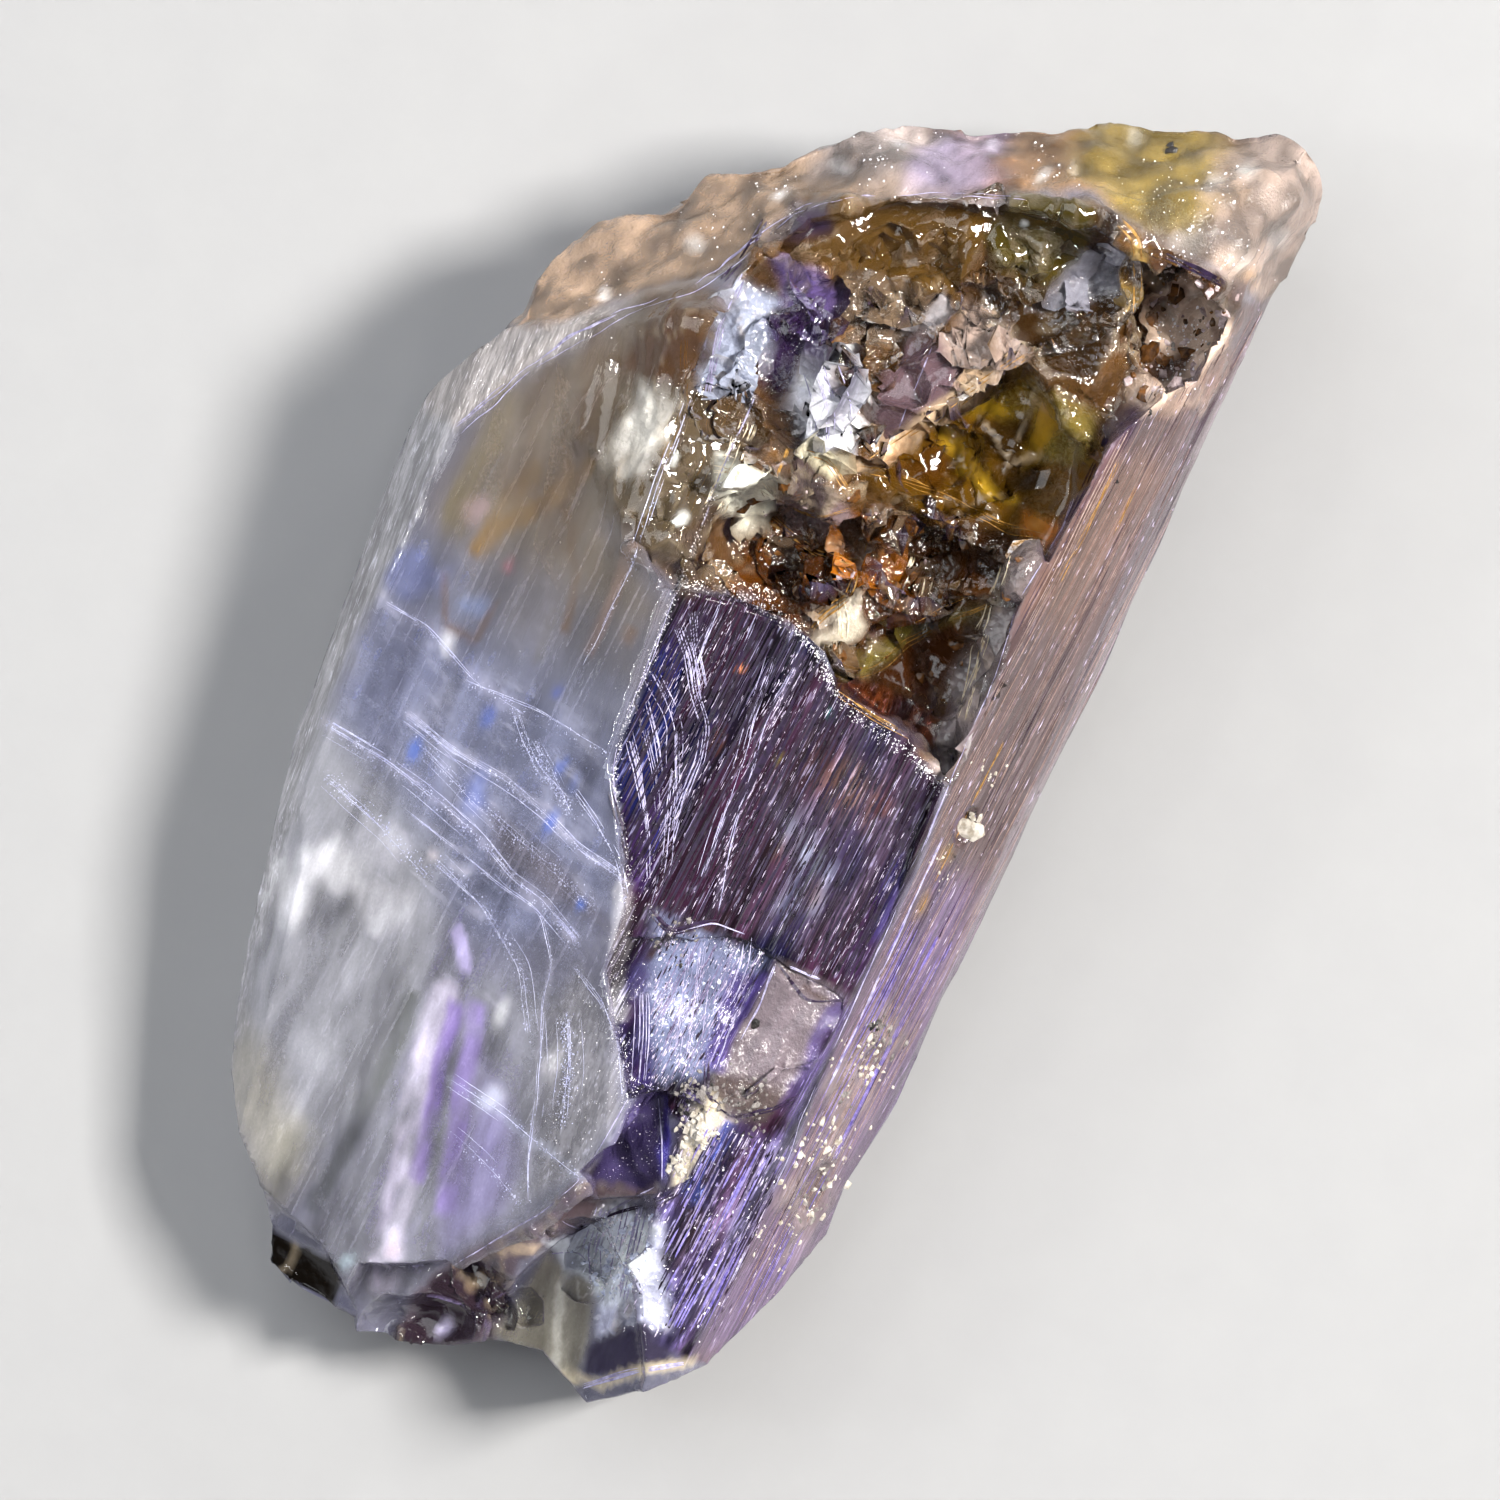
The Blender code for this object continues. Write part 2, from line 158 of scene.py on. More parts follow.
class BrokenCells:
    """A broken surface of tilted bowls that meet in sharp crests."""

    SIDE = 24

    def __init__(self, seed: int, size: float, hollow: float = 1.0, slope: float = 0.5) -> None:
        """Draw the bowls.

        Args:
            seed: the number that fixes the pattern.
            size: the mean distance between two bowls in millimetres.
            hollow: how strongly each bowl curves.
            slope: how strongly the bowls tilt.
        """
        draw = np.random.default_rng(seed)
        shape = (self.SIDE,) * 3
        self.size = size
        self.hollow = hollow
        self.middles = draw.random((*shape, 3))
        self.tilts = draw.normal(0.0, slope, (*shape, 3))
        self.steps = draw.normal(0.0, 0.15, shape)
        self.lights = draw.random(shape)

    def read(self, points: Array) -> tuple[Array, Array, Array]:
        """Read the surface at some points.

        Args:
            points: N by 3 places in millimetres.

        Returns:
            Heights in millimetres, each point's brightness from 0 to 1, and about how far the next crest is.
        """
        lattice = points / self.size
        base = np.floor(lattice).astype(np.int64)
        lowest, second = np.full(len(points), 1e9), np.full(len(points), 1e9)
        light = np.zeros(len(points))
        for step in np.ndindex(3, 3, 3):
            near = base + np.array(step) - 1
            index = near % self.SIDE
            cell = index[:, 0], index[:, 1], index[:, 2]
            gap = lattice - near - self.middles[cell]
            level = self.hollow * (gap**2).sum(1) + (gap * self.tilts[cell]).sum(1) + self.steps[cell]
            lower = level < lowest
            second = np.where(lower, lowest, np.minimum(second, level))
            light = np.where(lower, self.lights[cell], light)
            lowest = np.minimum(lowest, level)
        return lowest * self.size, light, (second - lowest) * self.size


class Relief(Enum):
    """The ways in which the stone's skin is shaped."""

    CLEAR = "nearly flat and clean"
    LINES = "lengthwise growth lines"
    SATIN = "finer and shallower growth lines"
    HACKLE = "small broken facets"
    SHELL = "smooth shell-shaped hollows with ripples"
    WAXY = "rounded bumps of a worn rim"
    ETCHED = "etched pits and short steps"


def edge_distance(points: Array, outline: Sequence[Point], closed: bool) -> Array:
    """Measure the distance from points to a line of straight runs.

    Args:
        points: N by 2 places.
        outline: the line's corners.
        closed: whether the last corner joins the first.

    Returns:
        N distances in millimetres.
    """
    corners = np.asarray(outline, float)
    starts = corners if closed else corners[:-1]
    ends = np.roll(corners, -1, axis=0) if closed else corners[1:]
    best = np.full(len(points), 1e9)
    for start, end in zip(starts, ends, strict=True):
        run = end - start
        along = np.clip(((points - start) @ run) / max(run @ run, 1e-9), 0.0, 1.0)
        gap = np.hypot(*(points - start - along[:, None] * run).T)
        best = np.minimum(best, gap)
    return best


def within(points: Array, outline: Sequence[Point]) -> Array:
    """Tell which points lie inside a closed outline.

    Args:
        points: N by 2 places.
        outline: the outline's corners.

    Returns:
        N truth values.
    """
    inside = np.zeros(len(points), bool)
    x, y = points[:, 0], points[:, 1]
    for (x0, y0), (x1, y1) in zip(outline, [*outline[1:], outline[0]], strict=True):
        if y0 == y1:
            continue
        crosses = (y0 > y) != (y1 > y)
        inside ^= crosses & (x < (x1 - x0) * (y - y0) / (y1 - y0) + x0)
    return inside


@dataclass(frozen=True)
class Patch:
    """A closed area of the seen side with a colour, a clouding and, where it has one, its own relief.

    haze is the share of the skin that isn't see-through, and cover how much of what lies under is painted
    over.
    """

    name: str
    tone: str
    haze: float
    outline: tuple[Point, ...]
    relief: Relief | None = None
    edge: float = 0.15
    cover: float = 1.0
    wobble: float = 0.12

    def weight(self, places: Array, shake: Array) -> Array:
        """Give how strongly the patch covers each place.

        Args:
            places: N by 2 places in millimetres.
            shake: N by 2 values around 0 that roughen the outline.

        Returns:
            N values from 0 to 1.
        """
        moved = places + shake * self.wobble
        depth = edge_distance(moved, self.outline, closed=True)
        depth = np.where(within(moved, self.outline), depth, -depth)
        return self.cover * smooth(-self.edge, self.edge, depth)


@dataclass(frozen=True)
class Stroke:
    """A line on the seen side, such as a scratch, a crack, a veil's edge or a frosted ridge."""

    name: str
    tone: str
    haze: float
    line: tuple[Point, ...]
    width: float
    cover: float = 1.0
    wobble: float = 0.05
    breaks: float = 0.0

    def weight(self, places: Array, shake: Array, gaps: Array) -> Array:
        """Give how strongly the stroke covers each place.

        Args:
            places: N by 2 places in millimetres.
            shake: N by 2 values around 0 that roughen the line.
            gaps: N values around 0 that break the line up.

        Returns:
            N values from 0 to 1.
        """
        moved = places + shake * self.wobble
        gap = edge_distance(moved, self.line, closed=False)
        body = 1.0 - smooth(0.35 * self.width, self.width, gap)
        return self.cover * body * np.clip(1.0 - self.breaks * (0.5 + gaps * 1.6), 0.0, 1.0)


@dataclass(frozen=True)
class Spot:
    """A round soft fleck on the seen side."""

    tone: str
    haze: float
    x: float
    y: float
    across: float
    tall: float = 1.0
    cover: float = 1.0

    def weight(self, places: Array, shake: Array) -> Array:
        """Give how strongly the fleck covers each place.

        Args:
            places: N by 2 places in millimetres.
            shake: N by 2 values around 0 that roughen the outline.

        Returns:
            N values from 0 to 1.
        """
        moved = places + shake * 0.5 * self.across
        gap = np.hypot(moved[:, 0] - self.x, (moved[:, 1] - self.y) / self.tall)
        return self.cover * (1.0 - smooth(0.12 * self.across, 0.75 * self.across, gap))


READERS: dict[object, Callable[[str], object]] = {
    str: str, float: float, int: int, Relief | None: lambda word: Relief[word]
}


def table(kind: type[Row], text: str) -> tuple[Row, ...]:
    """Read the rows of a table, each of which describes one patch, stroke, spot, area or thread.

    A row's words fill the fields of its class in their order, and a dash leaves a field as it is. Its words
    with a comma are the corners of its line in millimetres. A row that is set in goes on with the one above.

    Args:
        kind: the class of the rows.
        text: the table.

    Returns:
        One object for each row.
    """
    plain_fields = [part for part in fields(kind) if part.type in READERS]
    corner_fields = [part.name for part in fields(kind) if part.type not in READERS]
    made = []
    for row in text.strip().replace("\n ", " ").splitlines():
        if row.startswith("#"):
            continue
        corners = way(" ".join(word for word in row.split() if "," in word))
        words = [word for word in row.split() if "," not in word]
        filled = {
            part.name: READERS[part.type](word)
            for part, word in zip(plain_fields, words, strict=False) if word != "-"
        }
        made.append(kind(**filled, **{name: corners for name in corner_fields}))
    return tuple(made)


# The next row is a painted highlight, an orange glint in the gold hollow.
# The next row is painted shade, a near-black and nearly opaque patch in the gold hollow.
# The next row is the hackle's own pinkish grey, painted lighter to lift the shade of a wall that turns away
# from the lamps.
PATCHES: tuple[Patch, ...] = table(Patch, """
# clear side
upper_brown_haze 958878 0.42 - 0.5 -5,2.6 -3.6,5 -2.2,5.2 -2.2,1.4 -1,0.6 -0.9,-0.6 -3.2,-0.9 -5.1,0.2
upper_blue_grey 7f8294 0.4 - 0.6 0.6 -5.2,0.2 -3.4,0.3 -0.8,0.3 -0.6,-1.8 -5.2,-1.6
blue_middle 9096b8 0.36 - 0.4 0.75 -5,-1.3 -0.7,-1.6 0,-2.9 0.7,-4.2 -1,-5.4 -2.2,-5.2 -5,-3.4
brown_shadow 7a6e6a 0.35 - 0.25 0.6 -2,-3.5 -0.6,-3.7 0.6,-4.3 -0.4,-4.4 -1.6,-4.1
pale_lower_left bcbcc0 0.46 - 0.5 0.8 -5.4,-3.2 -2.4,-4.4 -1.6,-6 -1.4,-8.4 -2.2,-10.8 -4,-9.8 -5.2,-6
lower_grey a4a4ac 0.4 - 0.4 0.8 -1.6,-6.2 1,-5.4 2,-7 1.9,-8.3 0.6,-10.4 0,-11.5 -1.6,-11
lilac_haze b0a6dc 0.55 - 0.3 0.7 -0.2,-7.2 0.8,-7.9 1.1,-9.2 0.6,-10.3 0.2,-9.4
frosted_step 9c9aa0 0.55 SATIN 0.2 0.8 0.4,-5.1 1.3,-5.7 2.05,-6.8 1.95,-8 1.4,-8.6 0.9,-7.2 0.3,-6
yellow_edge beb48c 0.48 - 0.35 0.4 -4.2,-8.2 -3.4,-8.6 -1.9,-10 -2.2,-10.9 -3.9,-9.6
left_bevel a6a5a9 0.8 SATIN 0.14 - 0.15 -6.4,2.2 -5.25,1.9 -5.2,0.4 -5.12,-1.2 -5.12,-2.6 -5,-4 -4.6,-5.7
  -4.4,-7.2 -3.9,-8.6 -5.4,-8.6 -6.4,-2
upper_bevel a8a2a0 0.8 SATIN 0.14 - 0.2 -6.4,1.9 -5.25,1.6 -4.75,2.9 -4.3,3.6 -3.7,4.4 -4,4.6 -4.7,4.1
  -5.6,4.4
# worn rim
rim_pink b2967c 0.5 WAXY 0.12 -5.6,3.4 -4.7,3.8 -4.1,4.5 -3.5,5.1 -2.7,5.7 -2.3,6.6 -2.05,7.2 -1.2,7.9
  0.2,8.6 1,9.1 2.1,9.6 3.4,9.6 4.9,9.4 5.9,9.6 6.4,12.4 -5.6,12.4
rim_white b8aeae 0.66 - 0.3 0.7 0.3 -2.1,7.9 -0.6,8.4 0.2,8.8 -0.2,9.5 -1.2,9.6 -2.3,8.8
rim_violet 857a9a 0.6 - 0.25 0.75 0.25 -0.6,8.5 0.3,8.7 0.9,9.3 0.5,10.2 -0.7,9.6
rim_orange a8743c 0.5 - 0.3 0.6 0.3 0.6,9.1 2,9.6 2.3,10 1.7,10.6 0.7,10
rim_olive 9c8438 0.45 - 0.3 0.9 0.35 1.7,9.7 3.9,9.7 3.9,10.4 3.7,11.2 3.2,11.9 1.4,11.3
corner_pale ae9b90 0.62 WAXY 0.5 - 0.7 3.8,9.6 5.9,9.6 6,12.4 3.6,12.4 4.1,10.8
# dark striated face
middle_dark 140c1c 1 LINES 0.05 - 0.05 -0.95,1 0,1.35 0.9,1.35 1.4,1.2 1.9,0.9 2.7,0.6 3.5,0.55 4.35,0.1
  4.5,-1.4 4.65,-3.5 4.75,-6.2 3.6,-6.6 2.3,-6.5 2.05,-6.6 1.4,-5.7 0.8,-4.9 0.65,-3.9 0.05,-2.85
  -0.35,-2.35 -0.6,-1.9 -0.75,-0.6
middle_grey 4c3e52 0.95 - 0.25 0.85 0.2 1.7,0.6 3.9,0.5 4.2,-1.4 4.1,-3.3 2,-3.2 1.75,-1.6
middle_brown 7c5a42 0.7 - 0.3 0.5 0.4 2,-0.2 3.4,-0.3 3.5,-0.9 2.1,-1
navy_left 1a1f5c 1 - 0.08 - 0.08 -0.75,0.5 -0.45,0.3 -0.1,-0.6 0.15,-1.6 0.6,-2.6 0.95,-3.6 0.6,-3.6
  0.1,-2.8 -0.4,-2.1 -0.62,-1.2
navy_right 262050 0.9 - 0.1 4.05,-1.2 4.45,-1.3 4.6,-3.2 4.15,-3.3
dark_strip 160e1a 1 - 0.08 - 0.1 1.35,1 1.75,0.9 1.85,-1 1.95,-2.6 1.7,-2.6 1.5,-0.8
dark_top 140c14 1 - 0.12 0.7 0.15 -0.1,1.2 0.9,1.15 0.95,0.2 0.9,-0.6 0.3,-0.4 -0.1,0.3
lower_shine 8e96ba 0.58 ETCHED 0.2 0.75 0.3 1.1,-3.9 2,-3.6 2.9,-3.7 3,-5.6 2.4,-6.2 2,-5.8 1.4,-5
lower_dark 32265a 0.75 - 0.1 0.85 0.15 1.05,-4.2 1.5,-4.6 1.9,-5.4 2.4,-6.3 2.1,-6.5 1.5,-5.8 1.1,-5.2
etched_patch 786c72 0.72 ETCHED 0.1 - 0.15 3.15,-3.6 4.45,-3.6 4.5,-4.6 4.3,-5.3 3.9,-5.9 3.1,-5.8
  3.2,-4.6
etched_lower 524644 0.78 ETCHED 0.08 3,-5.6 4.4,-5.3 4.2,-5.9 3.8,-6.2 3.1,-6.1
cloud_upper a3a8c2 0.62 - 0.2 0.5 0.4 2.1,-1.2 2.8,-1.35 2.75,-2 2.2,-1.9
cloud_lower 9a9eb8 0.62 - 0.22 0.5 0.4 2.6,-1.65 3.4,-1.7 3.3,-2.8 2.7,-2.8
violet_strip 6650a0 0.5 - 0.1 0.8 2.6,-4 3.1,-3.9 3.2,-5.5 2.85,-5.6
violet_strip_right 65558e 0.55 - 0.1 0.85 4.2,-3.7 4.6,-3.6 4.7,-5.8 4.35,-5.6
foot_violet 74669e 0.66 LINES 0.12 2.9,-6.2 4.75,-6.1 5,-9.9 4.2,-9.9 3.4,-8.6 3.2,-7.6
foot_cream cfc3a8 0.88 ETCHED 0.12 0.95 0.35 3.05,-6.1 3.6,-6.2 3.5,-7.7 3.2,-7.4
foot_blue 5a63b8 0.5 - 0.06 3.55,-6.2 3.95,-6.3 3.9,-7.8 3.55,-7.6
foot_pink 8e6f9c 0.55 - 0.08 4,-6.4 4.4,-6.5 4.5,-8.3 4.1,-8
foot_brown 4e3c48 0.6 - 0.1 - 0.2 3.5,-7.7 4.05,-7.7 4.1,-8.8 3.7,-8.7
foot_lilac a49cca 0.66 - 0.1 0.7 4.35,-6.2 5,-6.2 5,-9.5 4.5,-9.3
# pink satin face
pink_face 6c5858 0.76 SATIN 0.05 - 0.04 5.5,9.6 4.95,9.1 5.05,8.2 4.75,7.5 4.3,6.95 4.08,6.3 4.15,5.25
  4.12,4.7 4,3.4 4.25,2 4.3,1.1 4.4,-0.1 4.55,-1.4 4.62,-3.6 4.75,-5.7 4.85,-6.3 4.85,-9.9 6.4,-9.9
  6.4,8.9
pink_outer a8989a 0.8 - 0.08 0.85 5.45,9.6 5.6,2 5.72,-3 5.6,-8.6 6.4,-8.6 6.4,9.6
pink_dark 46324a 0.74 - 0.12 0.75 0.15 4.15,7 4.5,7 4.45,5.6 4.3,4.9 4.15,4.9
pink_orange 8a6a5a 0.72 - 0.3 0.55 0.3 4.2,6.2 5.1,6.2 5,3.2 4.2,3.2
pink_violet_low 746084 0.74 - 0.5 0.8 0.3 4.6,-1 5.6,-1.2 6.4,-4 6.4,-9.6 4.8,-9.9 4.7,-4
pink_matrix 958878 0.85 ETCHED 0.25 0.55 0.5 4.95,-3.4 5.6,-3.4 5.7,-7 5.6,-8 5,-7 4.95,-5.4
# broken pit
pit_floor 6a4a26 0.46 HACKLE 0.08 - 0.08 -2.35,5 -2.35,6.6 -2.05,7.2 -1.2,7.9 0.2,8.55 1,9 2.1,9.5 3.4,9.5
  4.9,9.35 5,8.4 4.7,7.5 4.25,6.9 4.05,6.3 4.15,5.25 4.12,4.7 3.98,3.4 4.22,2 4.28,1.1 4.38,0.15 3.5,0.55
  2.7,0.62 2.1,0.76 1.83,1.06 1.4,1.3 0.9,1.42 0,1.4 -0.95,1.02 -1.7,1.2 -2.3,2.4 -2.3,3.6
left_of_shard 6c5c44 0.45 SHELL 0.35 - 0.4 -3.4,5.2 -2.2,5.4 -2.1,3.8 -1.1,3.9 -0.95,1.1 -1.8,1 -2.6,1.9
  -3.6,2.4
brown_corner 64482e 0.5 - 0.2 - 0.3 -3.4,5.2 -2.3,5.7 -2.2,3.9 -3.4,3.7
white_blotch e6e2d8 0.7 ETCHED 0.25 0.8 0.5 -3.05,3.7 -2.6,3.7 -2.2,3.2 -2.5,2.4 -2.95,2.5
upper_hollow 6e5022 0.45 SHELL 0.12 - 0.15 -1.9,7.5 -0.6,8.2 0.9,8.8 0.95,7.9 0.9,7 -0.4,6.75 -1.8,6.7
upper_hollow_edge 43344a 0.55 - 0.12 -2.05,7.3 -1.5,7.6 -1.3,7.2 -1.9,6.7
olive_bubble 62541c 0.35 SHELL 0.1 1,9.1 2.3,9.4 2.5,8.7 2.1,8 1.3,7.9 0.9,8.3
block_white b6b4c2 0.62 - 0.1 - 0.15 2.35,8.8 2.95,9.1 3.15,8.6 2.7,7.9 2.1,7.7
yellow_ledge c8a45a 0.6 - 0.08 3.1,9.3 3.4,9.2 3.75,8.3 3.5,8.2 3.3,8.8
dark_hole 5e3a20 0.6 - 0.2 - 0.4 3.55,9.35 4.7,9.3 4.5,8.8 4.1,8.7 3.8,8.3 3.6,8.7
grey_hackle e2c8b4 0.85 ETCHED 0.2 - 0.4 4,8.8 5.2,8.9 5.2,7.5 4.3,6.9 4,7.9
hole_edge 7c6256 0.75 ETCHED - 0.75 0.5 4.7,9.5 5.25,9.2 5.35,8.2 5.1,7.4 4.7,6.9 4.5,7 4.9,8 4.95,8.9
  4.6,9.3
grey_hackle_brown 5a3a26 0.6 - 0.12 - 0.4 4.1,8 4.6,8.1 4.7,7.7 4.3,7.4
grey_hackle_top 5e4a3c 0.6 - 0.12 - 0.4 4.4,9.2 5,9.2 5,8.9 4.5,8.9
brown_facets 60401c 0.5 - - - 0.3 2.2,7.7 3.9,8.2 4.2,7.6 3.4,7.3 2.3,7.2
grey_facet 86705a 0.5 - 0.1 - 0.2 -0.8,6.8 0.9,7 0.6,6.1 -0.2,5.9 -0.8,6.1
light_facet b3abac 0.6 - 0.08 0.35,6.2 0.75,7.2 0.95,7.1 0.75,6.3
pink_facets b29c90 0.6 - - - 0.25 1.1,7.2 2.2,7.2 2.3,6.8 1.7,5.9 1.1,6
lilac_plane 80666e 0.5 CLEAR 0.1 0.55,6.2 1,6.4 1.5,6.2 1.6,5.6 1,4.7 0.55,4.9
gold_hollow 64440a 0.6 SHELL 0.1 - 0.1 0.9,4 1.5,5 2.4,6.6 3.1,6.6 3.95,6.3 4.08,5.2 4.1,4.4 3.3,4.2
  2.3,3.95 1.5,3.85
gold_panel 94823e 0.5 - 0.1 0.8 0.15 3,6.6 3.9,6.5 3.95,5.7 3.2,5.5
gold_brown 4a2c06 0.75 - - - 0.2 1.2,4.2 2.1,4.3 2.2,5 1.7,5
gold_shine eebc34 0.6 - 0.1 - 0.15 1.8,5.25 2.2,5.2 2.65,4.85 3.3,4.75 2.9,4.6 2.25,4.7
gold_upper a8841c 0.5 - - - 0.25 1.7,5.6 2.3,6.5 3.1,6.5 3.1,6.1 2.5,5.8
gold_fold c89a26 0.55 - 0.12 - 0.25 2.9,6.35 3.25,6.3 3.3,5.6 3.05,5.2 2.95,5.6
gold_dark 160c03 0.92 - - 0.85 0.25 2.1,5.9 3,5.7 3.8,5.3 3.4,4.9 2.8,4.95 2.2,5.4
gold_rust c8741e 0.6 - 0.1 0.8 0.3 3.5,4.75 4.1,4.75 4.1,4.35 3.6,4.35
pink_ledge bfa486 0.7 - 0.06 - 0.06 0.75,4.1 1,4.1 1.5,4.9 2.35,6.7 2.15,6.9 1.3,5.4
brown_band 6a3a08 0.55 HACKLE 0.12 - 0.15 -0.3,2.4 0.2,3.1 1.4,3.6 2.7,3.9 4,4.2 3.95,3.3 3.3,2.75
  2.55,2.05 1.9,1.15 0.9,1.42 0,1.4
band_dark 381c06 0.75 - 0.2 - 0.45 0,2.6 0.9,2.5 1.5,2.7 1.4,2 0.9,1.6 0.1,1.7
band_dark_right 422206 0.7 - - - 0.35 1.6,3.7 3.6,4 3.5,3.5 2.2,3.1
band_amber bc6c14 0.6 - - - 0.35 0.9,3.1 1.6,3.2 2,2.7 1.5,2.4 0.9,2.6
grey_shard 7e6a6a 0.6 - 0.1 - 0.15 -0.2,3.8 0.6,3.6 1.1,3.3 0.7,2.9 0.2,2.7 -0.2,3.1
violet_brown 50301a 0.7 - 0.12 0.8 0.25 2.4,4.1 4,4.2 3.9,3.4 3.1,3.2 2.4,3.5
shard_blue bcc4dc 0.6 HACKLE 0.1 - 0.2 -2.25,5.9 -1.5,5.9 -1.2,5.2 -1.2,4.1 -2.1,4
shard_violet 6a5690 0.45 - 0.1 - 0.2 -2,6.4 -1.2,6.6 -0.7,6.4 -0.4,5.5 -0.9,5 -1.5,5.3 -1.6,6
shard_core 3c2450 0.45 - 0.1 - 0.15 -1.4,5.6 -0.9,5.8 -0.6,5.3 -0.9,4.7 -1.2,4.9
shard_white f4f4ff 0.85 - 0.12 - 0.25 -0.75,5.3 -0.1,5.6 0.4,5 0.5,4.3 -0.2,4 -0.8,4.4
white_patch fffbe8 1 ETCHED 0.14 - 0.25 -1.35,3.1 -0.9,3.4 -0.3,3.3 -0.1,2.9 -0.6,2.4 -1.2,2.6
white_run fff4d2 0.85 - 0.07 -0.3,4.05 0.3,4.15 0.6,3.9 0.2,3.75 -0.2,3.85
white_fleck_low ecdfc8 0.7 ETCHED - - 0.5 1.4,1.9 1.7,2.15 2,1.9 1.9,1.4 1.5,1.25
olive_ledge 8c7a34 0.6 - 0.1 - 0.1 1.9,1.1 2.6,2.1 3.3,2.8 3.9,3.2 3.4,2.6 2.8,1.9 2.4,1.1
lower_hole 4a260a 0.65 SHELL 0.12 2.5,1.3 2.9,2.1 3.4,2.7 3.6,1.9 3.5,1.2 2.7,1.1
red_wall 88441c 0.55 LINES 0.08 2,1.05 3.6,1.1 3.8,0.6 2.8,0.65 2.1,0.78
right_wall a89e9e 0.72 HACKLE 0.1 0.9 0.2 3.6,4.2 4.05,4.2 3.98,3.3 4.2,2 4.3,0.9 4.3,0.2 3.8,0.6 3.6,1.6
  3.6,2.9
# foot
foot_break 70646e 0.5 SHELL 0.08 - 0.08 0.4,-11 0.9,-9.9 1.5,-9.2 1.9,-8.3 2.1,-7.7 3.2,-7.6 2.6,-8.5
  2.2,-9.2 1.7,-9.8 2,-11.2 1.2,-11.8 0.4,-11.8
violet_triangle 3a3058 0.7 WAXY 0.06 - 0.08 2.1,-6.6 2.6,-6.3 3.2,-7.55 2.9,-7.85 2.1,-8.15
violet_triangle_light 5c4ecb 0.45 - 0.06 - 0.05 2.6,-6.4 2.95,-6.8 3.2,-7.5 2.95,-7.3
brown_ledge 6a5a5e 0.75 CLEAR 0.06 - 0.06 1.75,-8.95 2.2,-8.2 2.9,-7.85 3.35,-7.6 2.6,-8.4 2.3,-9
foot_facets b4b6cc 0.62 HACKLE 0.12 - 0.15 2.1,-9.2 2.7,-8.4 3.4,-8.1 4.4,-9.6 3.4,-10.4 2.9,-9.5
foot_sparkle eef4ff 0.92 SATIN 0.2 0.95 0.4 2.3,-9.4 2.6,-8.5 3.3,-8.1 3.6,-9 3.2,-9.8
clear_block b4ae9e 0.48 CLEAR 0.1 - 0.1 2,-9.5 2.9,-9.55 3.3,-10.5 3.5,-11.4 2.4,-11.2 1.9,-11
block_top dadfe8 0.8 - 0.08 1.95,-9.35 2.5,-8.95 3,-9.4 2.5,-9.65
dark_facet 474158 0.5 CLEAR 0.06 3.3,-10.5 3.95,-9.7 4.7,-10 3.9,-10.75 3.5,-10.95
lobe 32262e 0.72 SHELL 0.1 0.55,-10.8 0.9,-10.1 1.5,-10 1.9,-10.5 1.6,-11.2 1.1,-11.8 0.5,-11.8
tan_facet c0ac98 0.7 - 0.06 1.35,-9.85 1.85,-9.6 1.95,-9.4 1.6,-9.5
dark_corner 140e08 1 SHELL 0.08 - 0.1 -2.4,-11.15 -0.85,-11.12 -0.35,-12.4 -2.4,-12.4
""")

